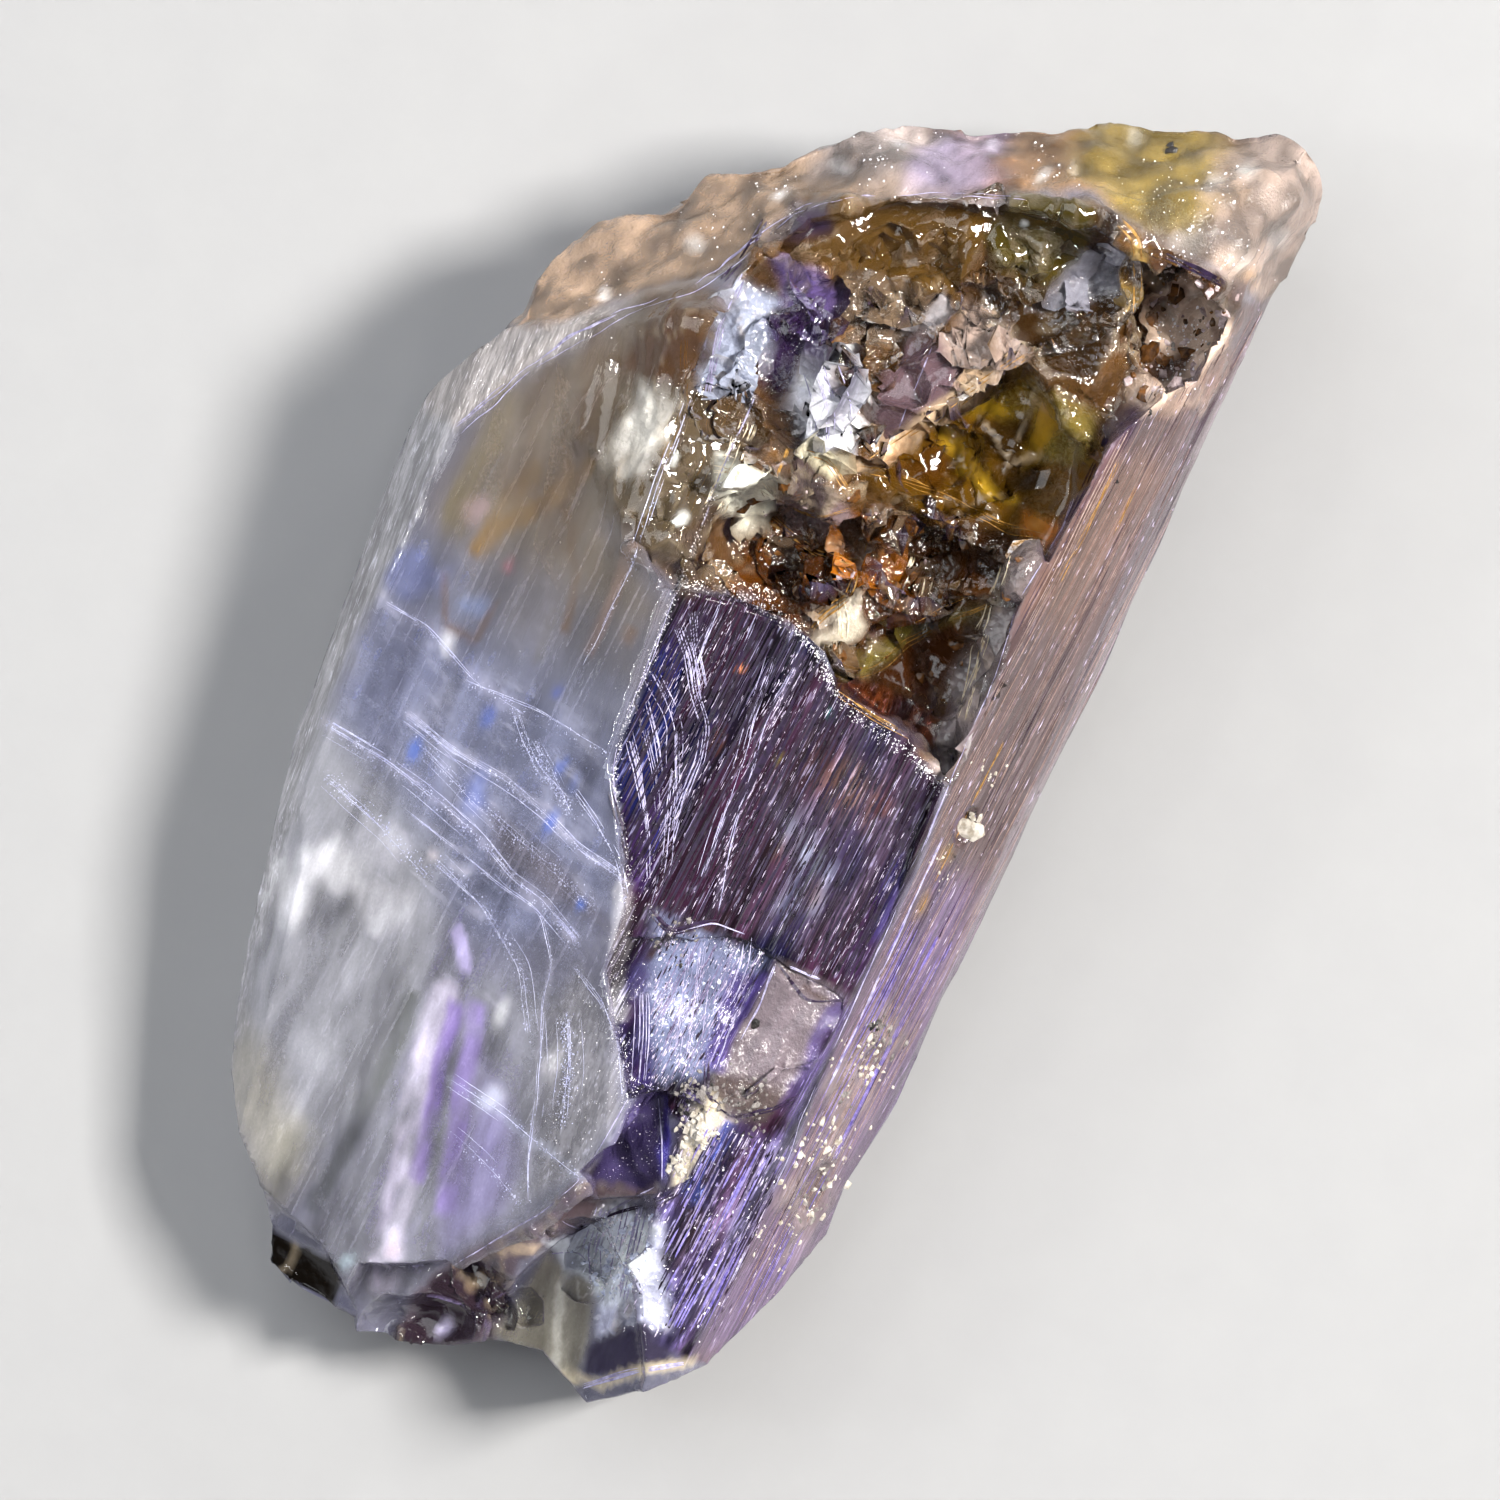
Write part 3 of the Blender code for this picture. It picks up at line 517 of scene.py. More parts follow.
STROKES: tuple[Stroke, ...] = table(Stroke, """
# long edges
ridge_frost d3d0d4 0.9 0.2 0.6 0.15 0.5,-3.6 0.75,-4.2 0.95,-4.8 1.3,-5.4
rim_line c9bdb4 0.85 0.12 0.25 0.12 -5.3,1.7 -4.7,3.3 -4.2,4.1 -3.6,4.9 -2.8,5.5 -2.3,6.6 -1.9,7.3
  -0.6,8.3 0.9,8.95 1.8,9.3 2.6,9.5
# scratches and steps of the dark face
inner_step 857a96 0.9 0.11 0.5 0.08 0.4 0.9,1.3 1.25,1 1.35,0.3 1.4,-0.6 1.55,-1.7 1.75,-2.6 1.95,-3.2
crack_left 3c2e26 0.85 0.09 0.9 0.15 0.2 1.35,-4.4 1.5,-3.9 2,-3.5 2.15,-3.35
crack_right 4a372e 0.85 0.06 0.8 0.12 0.3 3.3,-3.6 4,-3.85 4.4,-3.7 4.65,-3.5
# veils of the clear side
veil_1 dcd8ea 0.8 0.09 0.45 0.06 0.4 -3.9,-2.75 -3,-2.95 -2,-2.97 -1.1,-3.15 -0.4,-3.4 0.5,-3.5
veil_2 d2cde0 0.75 0.1 0.4 0.06 0.4 -5,-3.5 -3.9,-3.55 -3,-3.7 -2,-3.95 -1.2,-4.3 -0.6,-4.4 0.2,-4.75
veil_3 c9c5d8 0.75 0.07 0.3 - 0.3 -3.2,-4.1 -2.2,-4.3 -1.2,-4.5 -0.5,-4.6 0,-5.2 0.15,-5.8 0.5,-6.6
  0.8,-7.3 1.1,-8.2 1.4,-8.8
veil_6 c6c2da 0.7 0.2 0.3 0.1 0.4 -5,-1.3 -4.2,-1.35 -3.2,-1.75 -2.2,-1.9
veil_8 cdd3ec 0.7 0.12 0.35 0.06 0.3 -0.6,-7.65 0.4,-7.75 1.3,-7.95 2,-8.1
brown_arc 6e5030 0.65 0.1 0.7 0.1 0.25 -4.38,-0.56 -4.03,-1.15 -3.42,-1.27 -3.42,-0.62
stain_line 6a5032 0.6 0.11 0.7 0.12 0.35 -3.4,2 -3.4,1.47 -2.92,1.17 -2.43,0.43 -2.21,-0.44
stain_gold 9a7430 0.55 0.2 0.6 0.15 0.3 -4.13,0.11 -3.83,0.59 -3.35,1.38 -3.1,2.2
pink_streak a4887c 0.6 0.14 0.6 0.08 0.3 -1.83,1.17 -1.73,0.35 -1.73,-0.52
# lengthwise streaks of the clear side
streak_white e6dcf4 0.75 0.36 0.8 0.1 0.5 -1.3,-6.5 -1.15,-7.5 -0.82,-8.6 -0.55,-9.3 -0.4,-10.2 -0.1,-11
streak_violet_edge 9a72e0 0.6 0.2 0.6 0.08 0.5 -1.05,-6.6 -0.9,-7.4 -0.55,-8.6 -0.35,-9.3
streak_violet ab8ce8 0.65 0.26 0.6 0.12 0.55 -0.75,-6.5 -0.4,-7.5 -0.1,-8.5 0.3,-9.5
streak_flash d9ccff 0.75 0.16 0.8 0.08 -1.55,-5.5 -1.2,-5.95
streak_green 6f7468 0.35 0.2 0.6 0.12 0.3 -1.75,-6.8 -1.65,-8.2 -1.6,-10.4
streak_olive_1 8b7c4c 0.5 0.3 0.5 0.2 0.5 -4.75,2.5 -4.7,1.4 -4.6,0.2
streak_olive_2 95743a 0.5 0.3 0.6 0.2 0.4 -3.8,1.6 -3.85,0.8 -4.05,0.1
streak_brown_1 74604c 0.45 0.45 0.6 0.25 0.4 -3.9,4.1 -3.6,3 -3.4,1.6 -2.9,1
streak_brown_2 786450 0.45 0.35 0.5 0.25 0.4 -4.2,3.2 -4.1,2 -3.9,1.2
streak_grey 77736f 0.5 0.12 0.5 0.08 0.3 -2.6,1.4 -2.5,0.2 -2.4,-1
# cream and dark edges of the pit and the foot
tip_cream cfc1a4 0.85 0.14 0.85 0.06 3.2,-11.1 3.8,-10.95 4.25,-10.4 4.9,-9.95
block_pale e2ded2 0.75 0.12 0.7 0.1 0.4 2.5,-9.7 2.7,-10.4 3.05,-11.1
block_shade 4e493e 0.7 0.22 0.7 0.15 0.4 2.15,-9.8 2.3,-10.5 2.7,-11.1
block_shade_right 56514a 0.7 0.14 0.6 0.1 0.4 2.85,-9.8 3.1,-10.5 3.3,-10.9
foot_crack 2e2630 0.8 0.05 0.9 0.06 2.2,-9.1 2.7,-8.4 3.3,-7.95 3.5,-7.6
shadow_line 2f241c 0.7 0.12 0.8 0.1 -2.4,6.9 -2.35,6.2 -2.5,5.8
""")

# The next seven blue spots are painted blue flashes of light in the clear side.
# The next spot is a painted blue flash.
# The next spot is a painted highlight on the dark lobe.
# The next three white spots are painted glints left of the pit.
# The pale spots from here to 5.1,10.4 are painted highlights on the worn rim.
# The spots from here to 1.28,9.6 are painted highlights: glints in the pit and on the worn rim.
SPOTS: tuple[Spot, ...] = table(Spot, """
6f86e0 0.5 -2.72 -2.2 0.22 2 0.8
5f7fe6 0.5 -1.25 -2.4 0.2 1.6 0.7
6c86e0 0.5 -0.95 -2.55 0.18 1.4 0.7
4e7be8 0.5 -3.5 -3.2 0.3 1.2 0.7
6d82d8 0.5 -2.3 -3.45 0.5 1.4 0.6
4a74e4 0.5 -1.05 -3.25 0.2 1.8 0.75
4f7ae0 0.5 0.05 -4.2 0.2 1.2 0.7
7482c8 0.45 -4.8 -0.7 0.8 0.8 0.45
93a6d8 0.5 -3.7 -0.8 0.5 0.8 0.6
5e74d8 0.5 -1.9 -1.35 0.16 1.6 0.6
f4f2f6 0.8 -3.7 -5.5 1.1 0.8 0.75
e6e4ea 0.75 -2.9 -5.6 0.8 - 0.6
eeecf0 0.8 -4.3 -6.2 0.9 - 0.65
e4e2ec 0.75 -3.2 -4.75 0.9 0.8 0.6
d9cfd2 0.7 -2.5 -4.6 0.22 - 0.8
d2d0e0 0.7 -2 -4.55 0.4 0.6 0.7
cfcde0 0.7 -1.35 -5 0.4 0.6 0.6
dedcde 0.75 -3.8 -1.5 0.35 - 0.8
cfaeb2 0.6 -4.35 0.65 0.4 1.2 0.5
c07884 0.6 -3.48 0.12 0.2 - 0.7
ffffff 0.9 -0.3 -6.4 0.3 1.8 0.5
dfe3f4 0.8 0.15 -7.6 0.4 - 0.6
e8e6ea 0.8 0.75 -6.6 0.32 1.8 0.6
dcd6c0 0.5 -2.45 -9.7 0.7 1.3 0.4
c9e0ea 0.7 -0.7 -11 0.3 - 0.7
d9c3cc 0.6 -0.2 -10.55 0.25 1.2 0.6
e6872e 0.7 0.56 0.37 0.17 0.8 0.9
2fa39a 0.6 2.15 0.35 0.14 1.4 0.8
a89a3a 0.6 1.75 -0.7 0.12 1.4 0.7
7a4a24 0.8 3.1 -2.4 0.4 1.6 0.5
6e4426 0.8 2.3 -2 0.3 1.8 0.5
83502c 0.8 0.7 -0.9 0.25 2.2 0.45
7a4c2c 0.8 3.6 -0.6 0.35 1.2 0.5
f6f2f0 0.85 -4.1 4.75 0.3 0.8 0.7
f2ece6 0.85 -3.2 6.05 0.3 - 0.7
f8f4f2 0.85 -2.35 7.35 0.28 1.2 0.75
f4f0f0 0.85 -1.75 8.35 0.34 0.8 0.7
f6f2f4 0.85 -1 9 0.3 0.7 0.6
e4dcec 0.8 0.3 9.75 0.22 0.8 0.5
f6e6cc 0.85 1.7 9.85 0.22 - 0.7
f4ecd8 0.85 2.3 10.9 0.26 0.8 0.6
fbf8f4 0.9 4.15 11.1 0.34 1.2 0.6
f8f2ee 0.85 5.1 10.4 0.3 1.2 0.5
6b4a20 0.8 -1.28 0.02 0.25 - 0.7
b08c4c 0.7 4.86 -0.85 0.3 1.6 0.7
a8853f 0.7 4.86 -1.7 0.18 2.6 0.6
e8ddff 0.8 1.15 -11.3 0.3 - 0.8
1c1414 0.8 1.8 -10.65 0.3
c9ae8c 0.7 1.25 -10.35 0.24 1.3 0.8
ffffff 0.9 1.37 8.75 0.14
d8d8e8 0.8 2.9 8.5 0.3 1.6 0.7
e9a040 0.5 3.75 4.6 0.3 0.8 0.8
efe4d4 0.85 1.55 2.95 0.28 1.3 0.85
f2ece6 0.8 3.8 10.7 0.3 1.6 0.5
eee4da 0.8 3.85 9.7 0.5 0.6 0.5
eee4da 0.8 4.7 9.8 0.4 0.8 0.5
f2efe9 0.9 1.28 9.6 0.22 1.6 0.7
4a3820 0.6 1.35 10 0.5 0.8 0.6
5a4a20 0.6 2.6 10.6 0.6 0.7 0.5
5a4630 0.6 -1.6 8.5 0.6 0.6 0.5
54402c 0.6 -3 6.2 0.7 0.7 0.5
5e4a34 0.6 -3.9 4.9 0.5 0.7 0.5
604c3c 0.6 0.6 9.5 0.4 0.8 0.5
2c2618 0.7 -2 3.9 0.45 - 0.7
302a1e 0.7 -1.7 1.9 0.5 - 0.7
38301e 0.7 -2.2 2.2 0.45 1.2 0.6
f0f2ee 0.9 -1.36 2 0.24 1.2 0.9
e8ece8 0.9 -1.9 2.8 0.16 1.4 0.8
eceee6 0.9 -1.3 3.2 0.14 - 0.8
2a1a10 0.7 -2.3 4.6 0.4 - 0.7
241608 0.7 0.1 7.5 0.5 0.7 0.6
26190a 0.7 -0.9 7.2 0.4 0.7 0.6
221808 0.7 1.5 7.6 0.45 0.7 0.6
1c1206 0.7 3.1 7.4 0.4 0.8 0.6
2a1c14 0.7 -0.3 6.2 0.35 0.9 0.6
""")


@dataclass(frozen=True)
class Area:
    """An outline with the strength of a pattern inside it."""

    strength: float
    edge: float
    outline: tuple[Point, ...]


VEIL_AREAS: tuple[Area, ...] = table(Area, """
1 0.7 -5.6,-1 -0.7,-1.5 0.1,-2.8 0.8,-4.3 0.4,-5.4 -2.4,-5.4 -5.6,-4.4
0.45 0.5 -1.2,-5.4 1.2,-5.4 2.1,-6.6 2,-8.4 0.4,-8.4
0.35 0.5 -5.2,0 -2.4,0.2 -2.4,-1.2 -5.2,-1.2
""")
STREAK_AREAS: tuple[Area, ...] = table(Area, """
1 0.7 -5.4,-4.8 -1,-5.6 1.8,-6.6 1.9,-8.6 0.4,-11.6 -2.2,-11.2 -5,-8
0.4 0.5 -5.3,2.8 -3.6,5 -2.3,5 -0.9,1 -0.7,-1.4 -5.2,-1.2
0.8 0.5 -5.3,-1.2 -0.7,-1.4 0.6,-3.8 0.4,-5.2 -5,-4.8
""")


@dataclass(frozen=True)
class Thread:
    """A bundle of hair-fine lines along one way over the stone or just under its skin."""

    line: tuple[Point, ...]
    width: float = 0.03
    strands: int = 1
    spread: float = 0.0
    breaks: float = 0.2
    wobble: float = 0.03
    lift: float = 0.004


@dataclass(frozen=True)
class Growth:
    """An outline that is covered by straight lengthwise growth lines."""

    outline: tuple[Point, ...]
    count: int
    long: tuple[float, float]
    width: tuple[float, float]
    lift: float = 0.004


@dataclass(frozen=True)
class Scatter:
    """Specks in an outline or, where it is open, in a sheet that dips from a line."""

    line: tuple[Point, ...]
    count: int
    across: tuple[float, float]
    lift: tuple[float, float] = (0.0, 0.0)
    drift: Point | None = None
    spread: float = 0.0
    long: float = 1.0
    patchy: float = 0.0


LEFT_RIDGE: tuple[Point, ...] = way("-1.2,4.3 -1.15,3 -1,1.8 -0.9,0.8 -0.76,-0.4 -0.68,-1.35 -0.53,-2 "
    "-0.2,-2.53 0.2,-3 0.52,-3.47 0.66,-3.93 0.75,-4.4 0.9,-4.93 1.27,-5.47 1.62,-5.95 2.07,-6.6")
RIGHT_RIDGE: tuple[Point, ...] = way("4.05,5.2 4.12,4.7 4.02,3.4 4.25,2 4.3,1.1 4.4,-0.1 4.5,-1.4 4.6,-3.6 "
    "4.7,-5.7 4.8,-6.3 4.9,-8.6")
MIDDLE_FACE: tuple[Point, ...] = way("-0.85,0.9 0,1.3 0.9,1.3 1.7,1 2.3,0.6 4.2,0.1 4.45,-3.4 2.2,-3.3 "
    "1.3,-4 0.75,-3.7 0,-2.75 -0.5,-1.9 -0.72,-0.4")
PINK_FACE: tuple[Point, ...] = way("4.35,7.6 4.2,5 4.15,3.2 4.4,1.2 4.5,-0.8 4.75,-4 4.95,-7 5,-9.6 5.4,-9 "
    "5.75,-5 5.8,3 5.6,9.4 5.1,9.2 5.1,8.2")
FROST_LINES: tuple[Thread, ...] = (
    Thread(LEFT_RIDGE[:9], 0.022, 2, 0.015, 0.5), Thread(RIGHT_RIDGE, 0.02, 2, 0.03, 0.5),
    *table(Thread, """
0.035 2 0.02 -0.23,1.4 -0.17,0.6 -0.07,-0.15
0.025 9 0.07 0.7 -0.6,0.5 -0.2,0.1 0.1,-0.35 0.5,-0.75 0.67,-1.25 0.73,-1.9 0.87,-2.7
0.02 6 0.07 0.8 -0.5,0.8 -0.2,0.3 0.2,-0.2
0.022 6 0.05 0.7 -0.67,-0.4 -0.2,-0.73 0.07,-1 0.33,-1.53 0.6,-2
0.02 4 0.05 0.8 -0.53,-0.8 -0.07,-1.33 0.2,-1.73
0.024 7 0.06 0.6 -0.47,-1.47 -0.07,-1.93 0.33,-2.47 0.6,-2.93 0.8,-3.33
0.016 5 0.1 0.8 -0.35,-1.2 0.1,-1.75 0.45,-2.3
0.018 5 0.09 0.8 0.3,-1.6 0.55,-2.3 0.85,-3 1,-3.7
0.022 4 0.035 0.6 1.33,0.75 1.27,0.07 1.33,-0.53 1.53,-1.27 1.6,-1.87 1.73,-2.4 1.9,-2.95 2,-3.3
0.02 3 0.04 0.5 0.4,1.2 0.45,0.5
0.02 5 0.06 0.7 0.93,0.73 1.07,-0.27 1.27,-1.2 1.4,-2.13 1.53,-2.93
- 3 0.03 0.3 1.5,-3.9 2,-3.48 2.55,-3.43
- 3 0.04 0.4 2.55,-3.45 2.7,-3.9 2.75,-4.4 2.65,-4.9
- 2 0.02 0.3 3.2,-3.65 3.28,-4.3 3.25,-5
- 2 0.02 0.3 3.4,-3.56 3.95,-3.52
0.02 4 0.06 0.6 3,-4.6 3.1,-5.6
0.02 9 0.14 0.7 2,-3.9 2.3,-4.7 2.6,-5.6
0.022 6 0.08 0.6 1.5,-5 1.8,-5.6 2.1,-6.3
0.022 2 0.02 0.3 2.07,-6.6 2.02,-7.6 1.96,-8.2 1.68,-8.85 1.15,-9.7 0.6,-10.6
0.025 2 0.01 0.1 2.5,-6.4 2.85,-6.95 3.15,-7.55
0.025 2 0.01 0.3 1.8,-8.85 2.1,-8.92 2.35,-8.9 2.7,-8.3 3.1,-7.7
0.02 2 0.02 0.4 2.1,-9.45 2.5,-9.2 3,-9.5
0.05 4 0.05 0.1 3.55,-11.15 4.1,-10.6 4.85,-10
0.035 8 0.14 0.6 2.5,-8.4 2.6,-9.1 2.9,-9.6
0.035 8 0.14 0.6 3,-8.1 3.2,-8.9 3.4,-9.6
0.04 4 0.05 0.4 -1.9,4 -2.2,5 -2.25,6
0.022 4 0.08 0.6 0.1 -5.3,1.7 -4.75,2.9 -4.25,3.8 -3.7,4.6 -2.8,5.5 -2.35,6.6 -2,7.2
0.018 2 0.05 0.9 0.1 -2,7.2 -1.2,7.9 0,8.5 1,9 2.1,9.5
- 6 0.12 0.6 -0.5,5.2 0,4.7 0.25,4.2
0.95,6.3 1,5.6 1.05,4.9
0.04 2 0.015 4.67,-0.6 4.75,-2.5 4.87,-5
"""),
)
CREAM_LINES: tuple[Thread, ...] = table(Thread, """
- 4 0.1 0.3 0.1 2.2,3.2 2.25,2.75 2.3,2.45
0.025 3 0.12 0.3 0.1 2.6,3.05 2.7,2.7
- 4 0.08 0.5 0.15 3.55,3.9 3.6,3.3 3.7,2.6
- 6 0.1 0.6 0.15 3.75,2.6 3.9,2 4.05,1.2
- 8 0.12 0.6 0.15 -1.1,3.9 -1,3.1 -0.95,2.4
0.025 5 0.12 0.6 0.2 -1.3,3 -0.8,3.2 -0.2,3
0.035 5 0.1 0.4 0.15 1.45,2 1.7,1.75 1.85,1.4
""")
GOLD_LINES: tuple[Thread, ...] = table(Thread, """
0.04 3 0.05 0.4 2.73,9.47 3.1,9.35 3.4,8.9 3.67,8.3
0.025 3 0.05 0.4 2.33,6.87 1.9,6.1 1.4,5.1 0.85,4.1
0.018 4 0.07 0.6 0.1 0.8,4.07 1.3,4.2 2.2,4.3 3.3,4.3 4.05,4.5
0.018 5 0.07 0.5 0.1 3.6,3.1 3.1,2.5 2.7,1.9 2.4,1.3 1.95,0.9
- 3 0.03 0.3 -0.35,3.8 -0.3,3.3 0.1,3 0.6,3.05 0.95,3.4
- 3 0.03 0.3 -0.3,3.85 0.3,3.95 0.9,3.6
- 5 0.1 0.6 0.1 1.3,1.4 1.6,2.2 1.4,3.1
0.025 4 0.08 0.6 0.1 -0.1,2.7 0.8,2.5 1.6,2.7
0.02 4 0.04 0.5 2.1,0.72 2.8,0.62 3.6,0.62
- 4 0.06 0.5 0.1 -0.03 -2.6,4.6 -2.1,3.6 -2,2.6 -1.8,1.4
0.02 4 0.1 0.6 0.1 -0.03 -1.7,4 -1.5,3 -1.45,2
0.025 2 0.02 0.8 4.85,1.2 4.85,0.2 4.87,-0.6 4.88,-1.9
0.018 3 0.06 0.8 4.45,6 4.5,4.9 4.48,3.8
0.016 2 0.05 0.8 4.9,5.8 4.95,4.6
""")
# The next row is painted shade: a dark thread along the shadow line at the pit's left edge.
DARK_LINES: tuple[Thread, ...] = table(Thread, """
0.06 3 0.03 1,-3.73 1.47,-3.95 1.87,-3.55 2.07,-3.42
0.04 2 0.03 0.3 3.2,-3.6 3.9,-3.95 4.3,-3.75 4.65,-3.55
0.05 3 0.04 0.3 2.95,-5.5 3.2,-6 3.7,-6.1 4.2,-5.7 4.5,-5.3
0.05 2 0.02 0.1 2.3,-8.95 2.75,-8.4 3.35,-7.85 3.5,-7.6
0.05 2 0.02 0.1 -0.4,-2.35 0,-2.78 0.35,-3.2
- 2 0.03 0.4 -0.75,-0.9 -0.5,-1.1 -0.2,-1.6
0.06 3 0.03 0.3 4.1,6.3 4.15,5.3 4.15,4.7
0.09 3 0.04 -2.4,6.9 -2.42,6.2 -2.55,5.7
0.06 4 0.04 0.3 3.6,9.3 4.2,9.32 4.8,9.3
""")
VEIL_LINES: tuple[Thread, ...] = table(Thread, """
0.0126 9 0.084 0.6 - 0 -3.9,-2.75 -3,-2.93 -2,-2.97 -1.1,-3.15 -0.4,-3.4 0.5,-3.5
0.0117 10 0.12 0.7 - 0 -5,-3.5 -3.9,-3.55 -3,-3.7 -2,-3.95 -1.2,-4.3 -0.6,-4.4 0.2,-4.75
0.0135 3 0.024 0.3 - 0 -3.2,-4.1 -2.2,-4.3 -1.2,-4.5 -0.5,-4.6 0,-5.2 0.15,-5.8 0.5,-6.6 0.8,-7.3 1.1,-8.2
  1.4,-8.8
0.0135 3 0.036 0.4 - 0 -0.95,-2.6 -0.3,-2.95 0.2,-3.3 0.55,-3.75
0.01125 3 0.048 0.6 - 0 -3.3,-1.85 -2,-1.75 -1.3,-1.8 -0.7,-1.85
0.0135 4 0.06 0.7 - 0 -5,-1.3 -4.2,-1.35 -3.2,-1.75 -2.2,-1.9
0.009 4 0.06 0.7 - 0 -2.4,-1.9 -2,-2.3 -1.6,-2.6 -0.9,-2.85
0.01575 3 0.108 0.9 - 0 -0.6,-7.65 0.4,-7.75 1.3,-7.95 2,-8.1
0.01125 3 0.036 0.4 - 0 0.35,-5.1 1,-5.4 1.6,-5.95 2,-6.6
0.0081 4 0.12 0.8 - 0 -1.9,-2.2 -1.3,-2.6 -0.8,-3
0.0081 6 0.168 0.8 - 0 -3.4,-3.1 -2.2,-3.5 -1,-3.8 0.2,-4.1
0.009 5 0.12 0.7 - 0 -2.4,-4.6 -1.4,-4.9 -0.4,-5.5 0.2,-6.4
0.009 5 0.144 0.8 - 0 -4.6,-4.2 -3.4,-4.5 -2.4,-4.9
0.01125 7 0.144 0.6 - 0 0.6,-5.9 1,-6.6 1.3,-7.4
0.009 2 0.12 0.9 - 0 -0.2,-8.4 0.6,-8.6 1.3,-8.9
0.0135 2 0.036 0.5 - 0 -1.75,1.2 -1.72,0.2 -1.7,-0.8
0.018 3 0.048 0.5 - 0 -2.1,3.8 -1.95,2.4 -1.75,1
""")
ROD_LINES: tuple[Thread, ...] = table(Thread, """
0.05 2 0.015 0.1 0.02 -0.03 -1.9,-1.93 -1.2,-1.96 -0.65,-1.93
- 3 0.03 0.4 0.05 -0.03 -0.9,-5.3 -0.3,-5.75 0.3,-6.3 0.75,-7.3
- 2 0.02 - 0.02 -0.02 -0.85,-9.55 -0.45,-9.6
0.02 - - - 0.02 -0.02 -0.9,-8.95 -0.6,-9
""")


class Value:
    """A socket that takes part in Python arithmetic and adds the Math nodes for it."""

    def __init__(self, graph: "Graph", socket: bpy.types.NodeSocket) -> None:
        """Wrap one output socket of a graph."""
        self.graph = graph
        self.socket = socket

    def _math(self, operation: str, *terms: "Value | float") -> "Value":
        """Add a Math node on these terms."""
        made = self.graph.node("ShaderNodeMath", {"operation": operation}, *terms)
        return Value(self.graph, made.outputs[0])

    def __add__(self, other: "Value | float") -> "Value":
        """Add."""
        return self._math("ADD", self, other)

    __radd__ = __add__

    def __mul__(self, other: "Value | float") -> "Value":
        """Multiply."""
        return self._math("MULTIPLY", self, other)

    __rmul__ = __mul__

    def __sub__(self, other: "Value | float") -> "Value":
        """Take other away."""
        return self._math("SUBTRACT", self, other)

    def __rsub__(self, other: "Value | float") -> "Value":
        """Take this away from other."""
        return self._math("SUBTRACT", other, self)

    def rise(self, low: float, high: float) -> "Value":
        """Rise smoothly from 0 to 1.

        Args:
            low: this value's amount where the rise starts.
            high: its amount where it ends.

        Returns:
            The risen value.
        """
        settings = {"interpolation_type": "SMOOTHSTEP"}
        made = self.graph.node("ShaderNodeMapRange", settings, self, low, high, 0.0, 1.0)
        return Value(self.graph, made.outputs[0])

    def clamped(self) -> "Value":
        """Keep within 0 and 1."""
        return Value(self.graph, self.graph.node("ShaderNodeClamp", {}, self, 0.0, 1.0).outputs[0])

    def clamped_low(self) -> "Value":
        """Keep above a tenth."""
        return self._math("MAXIMUM", self, 0.1)


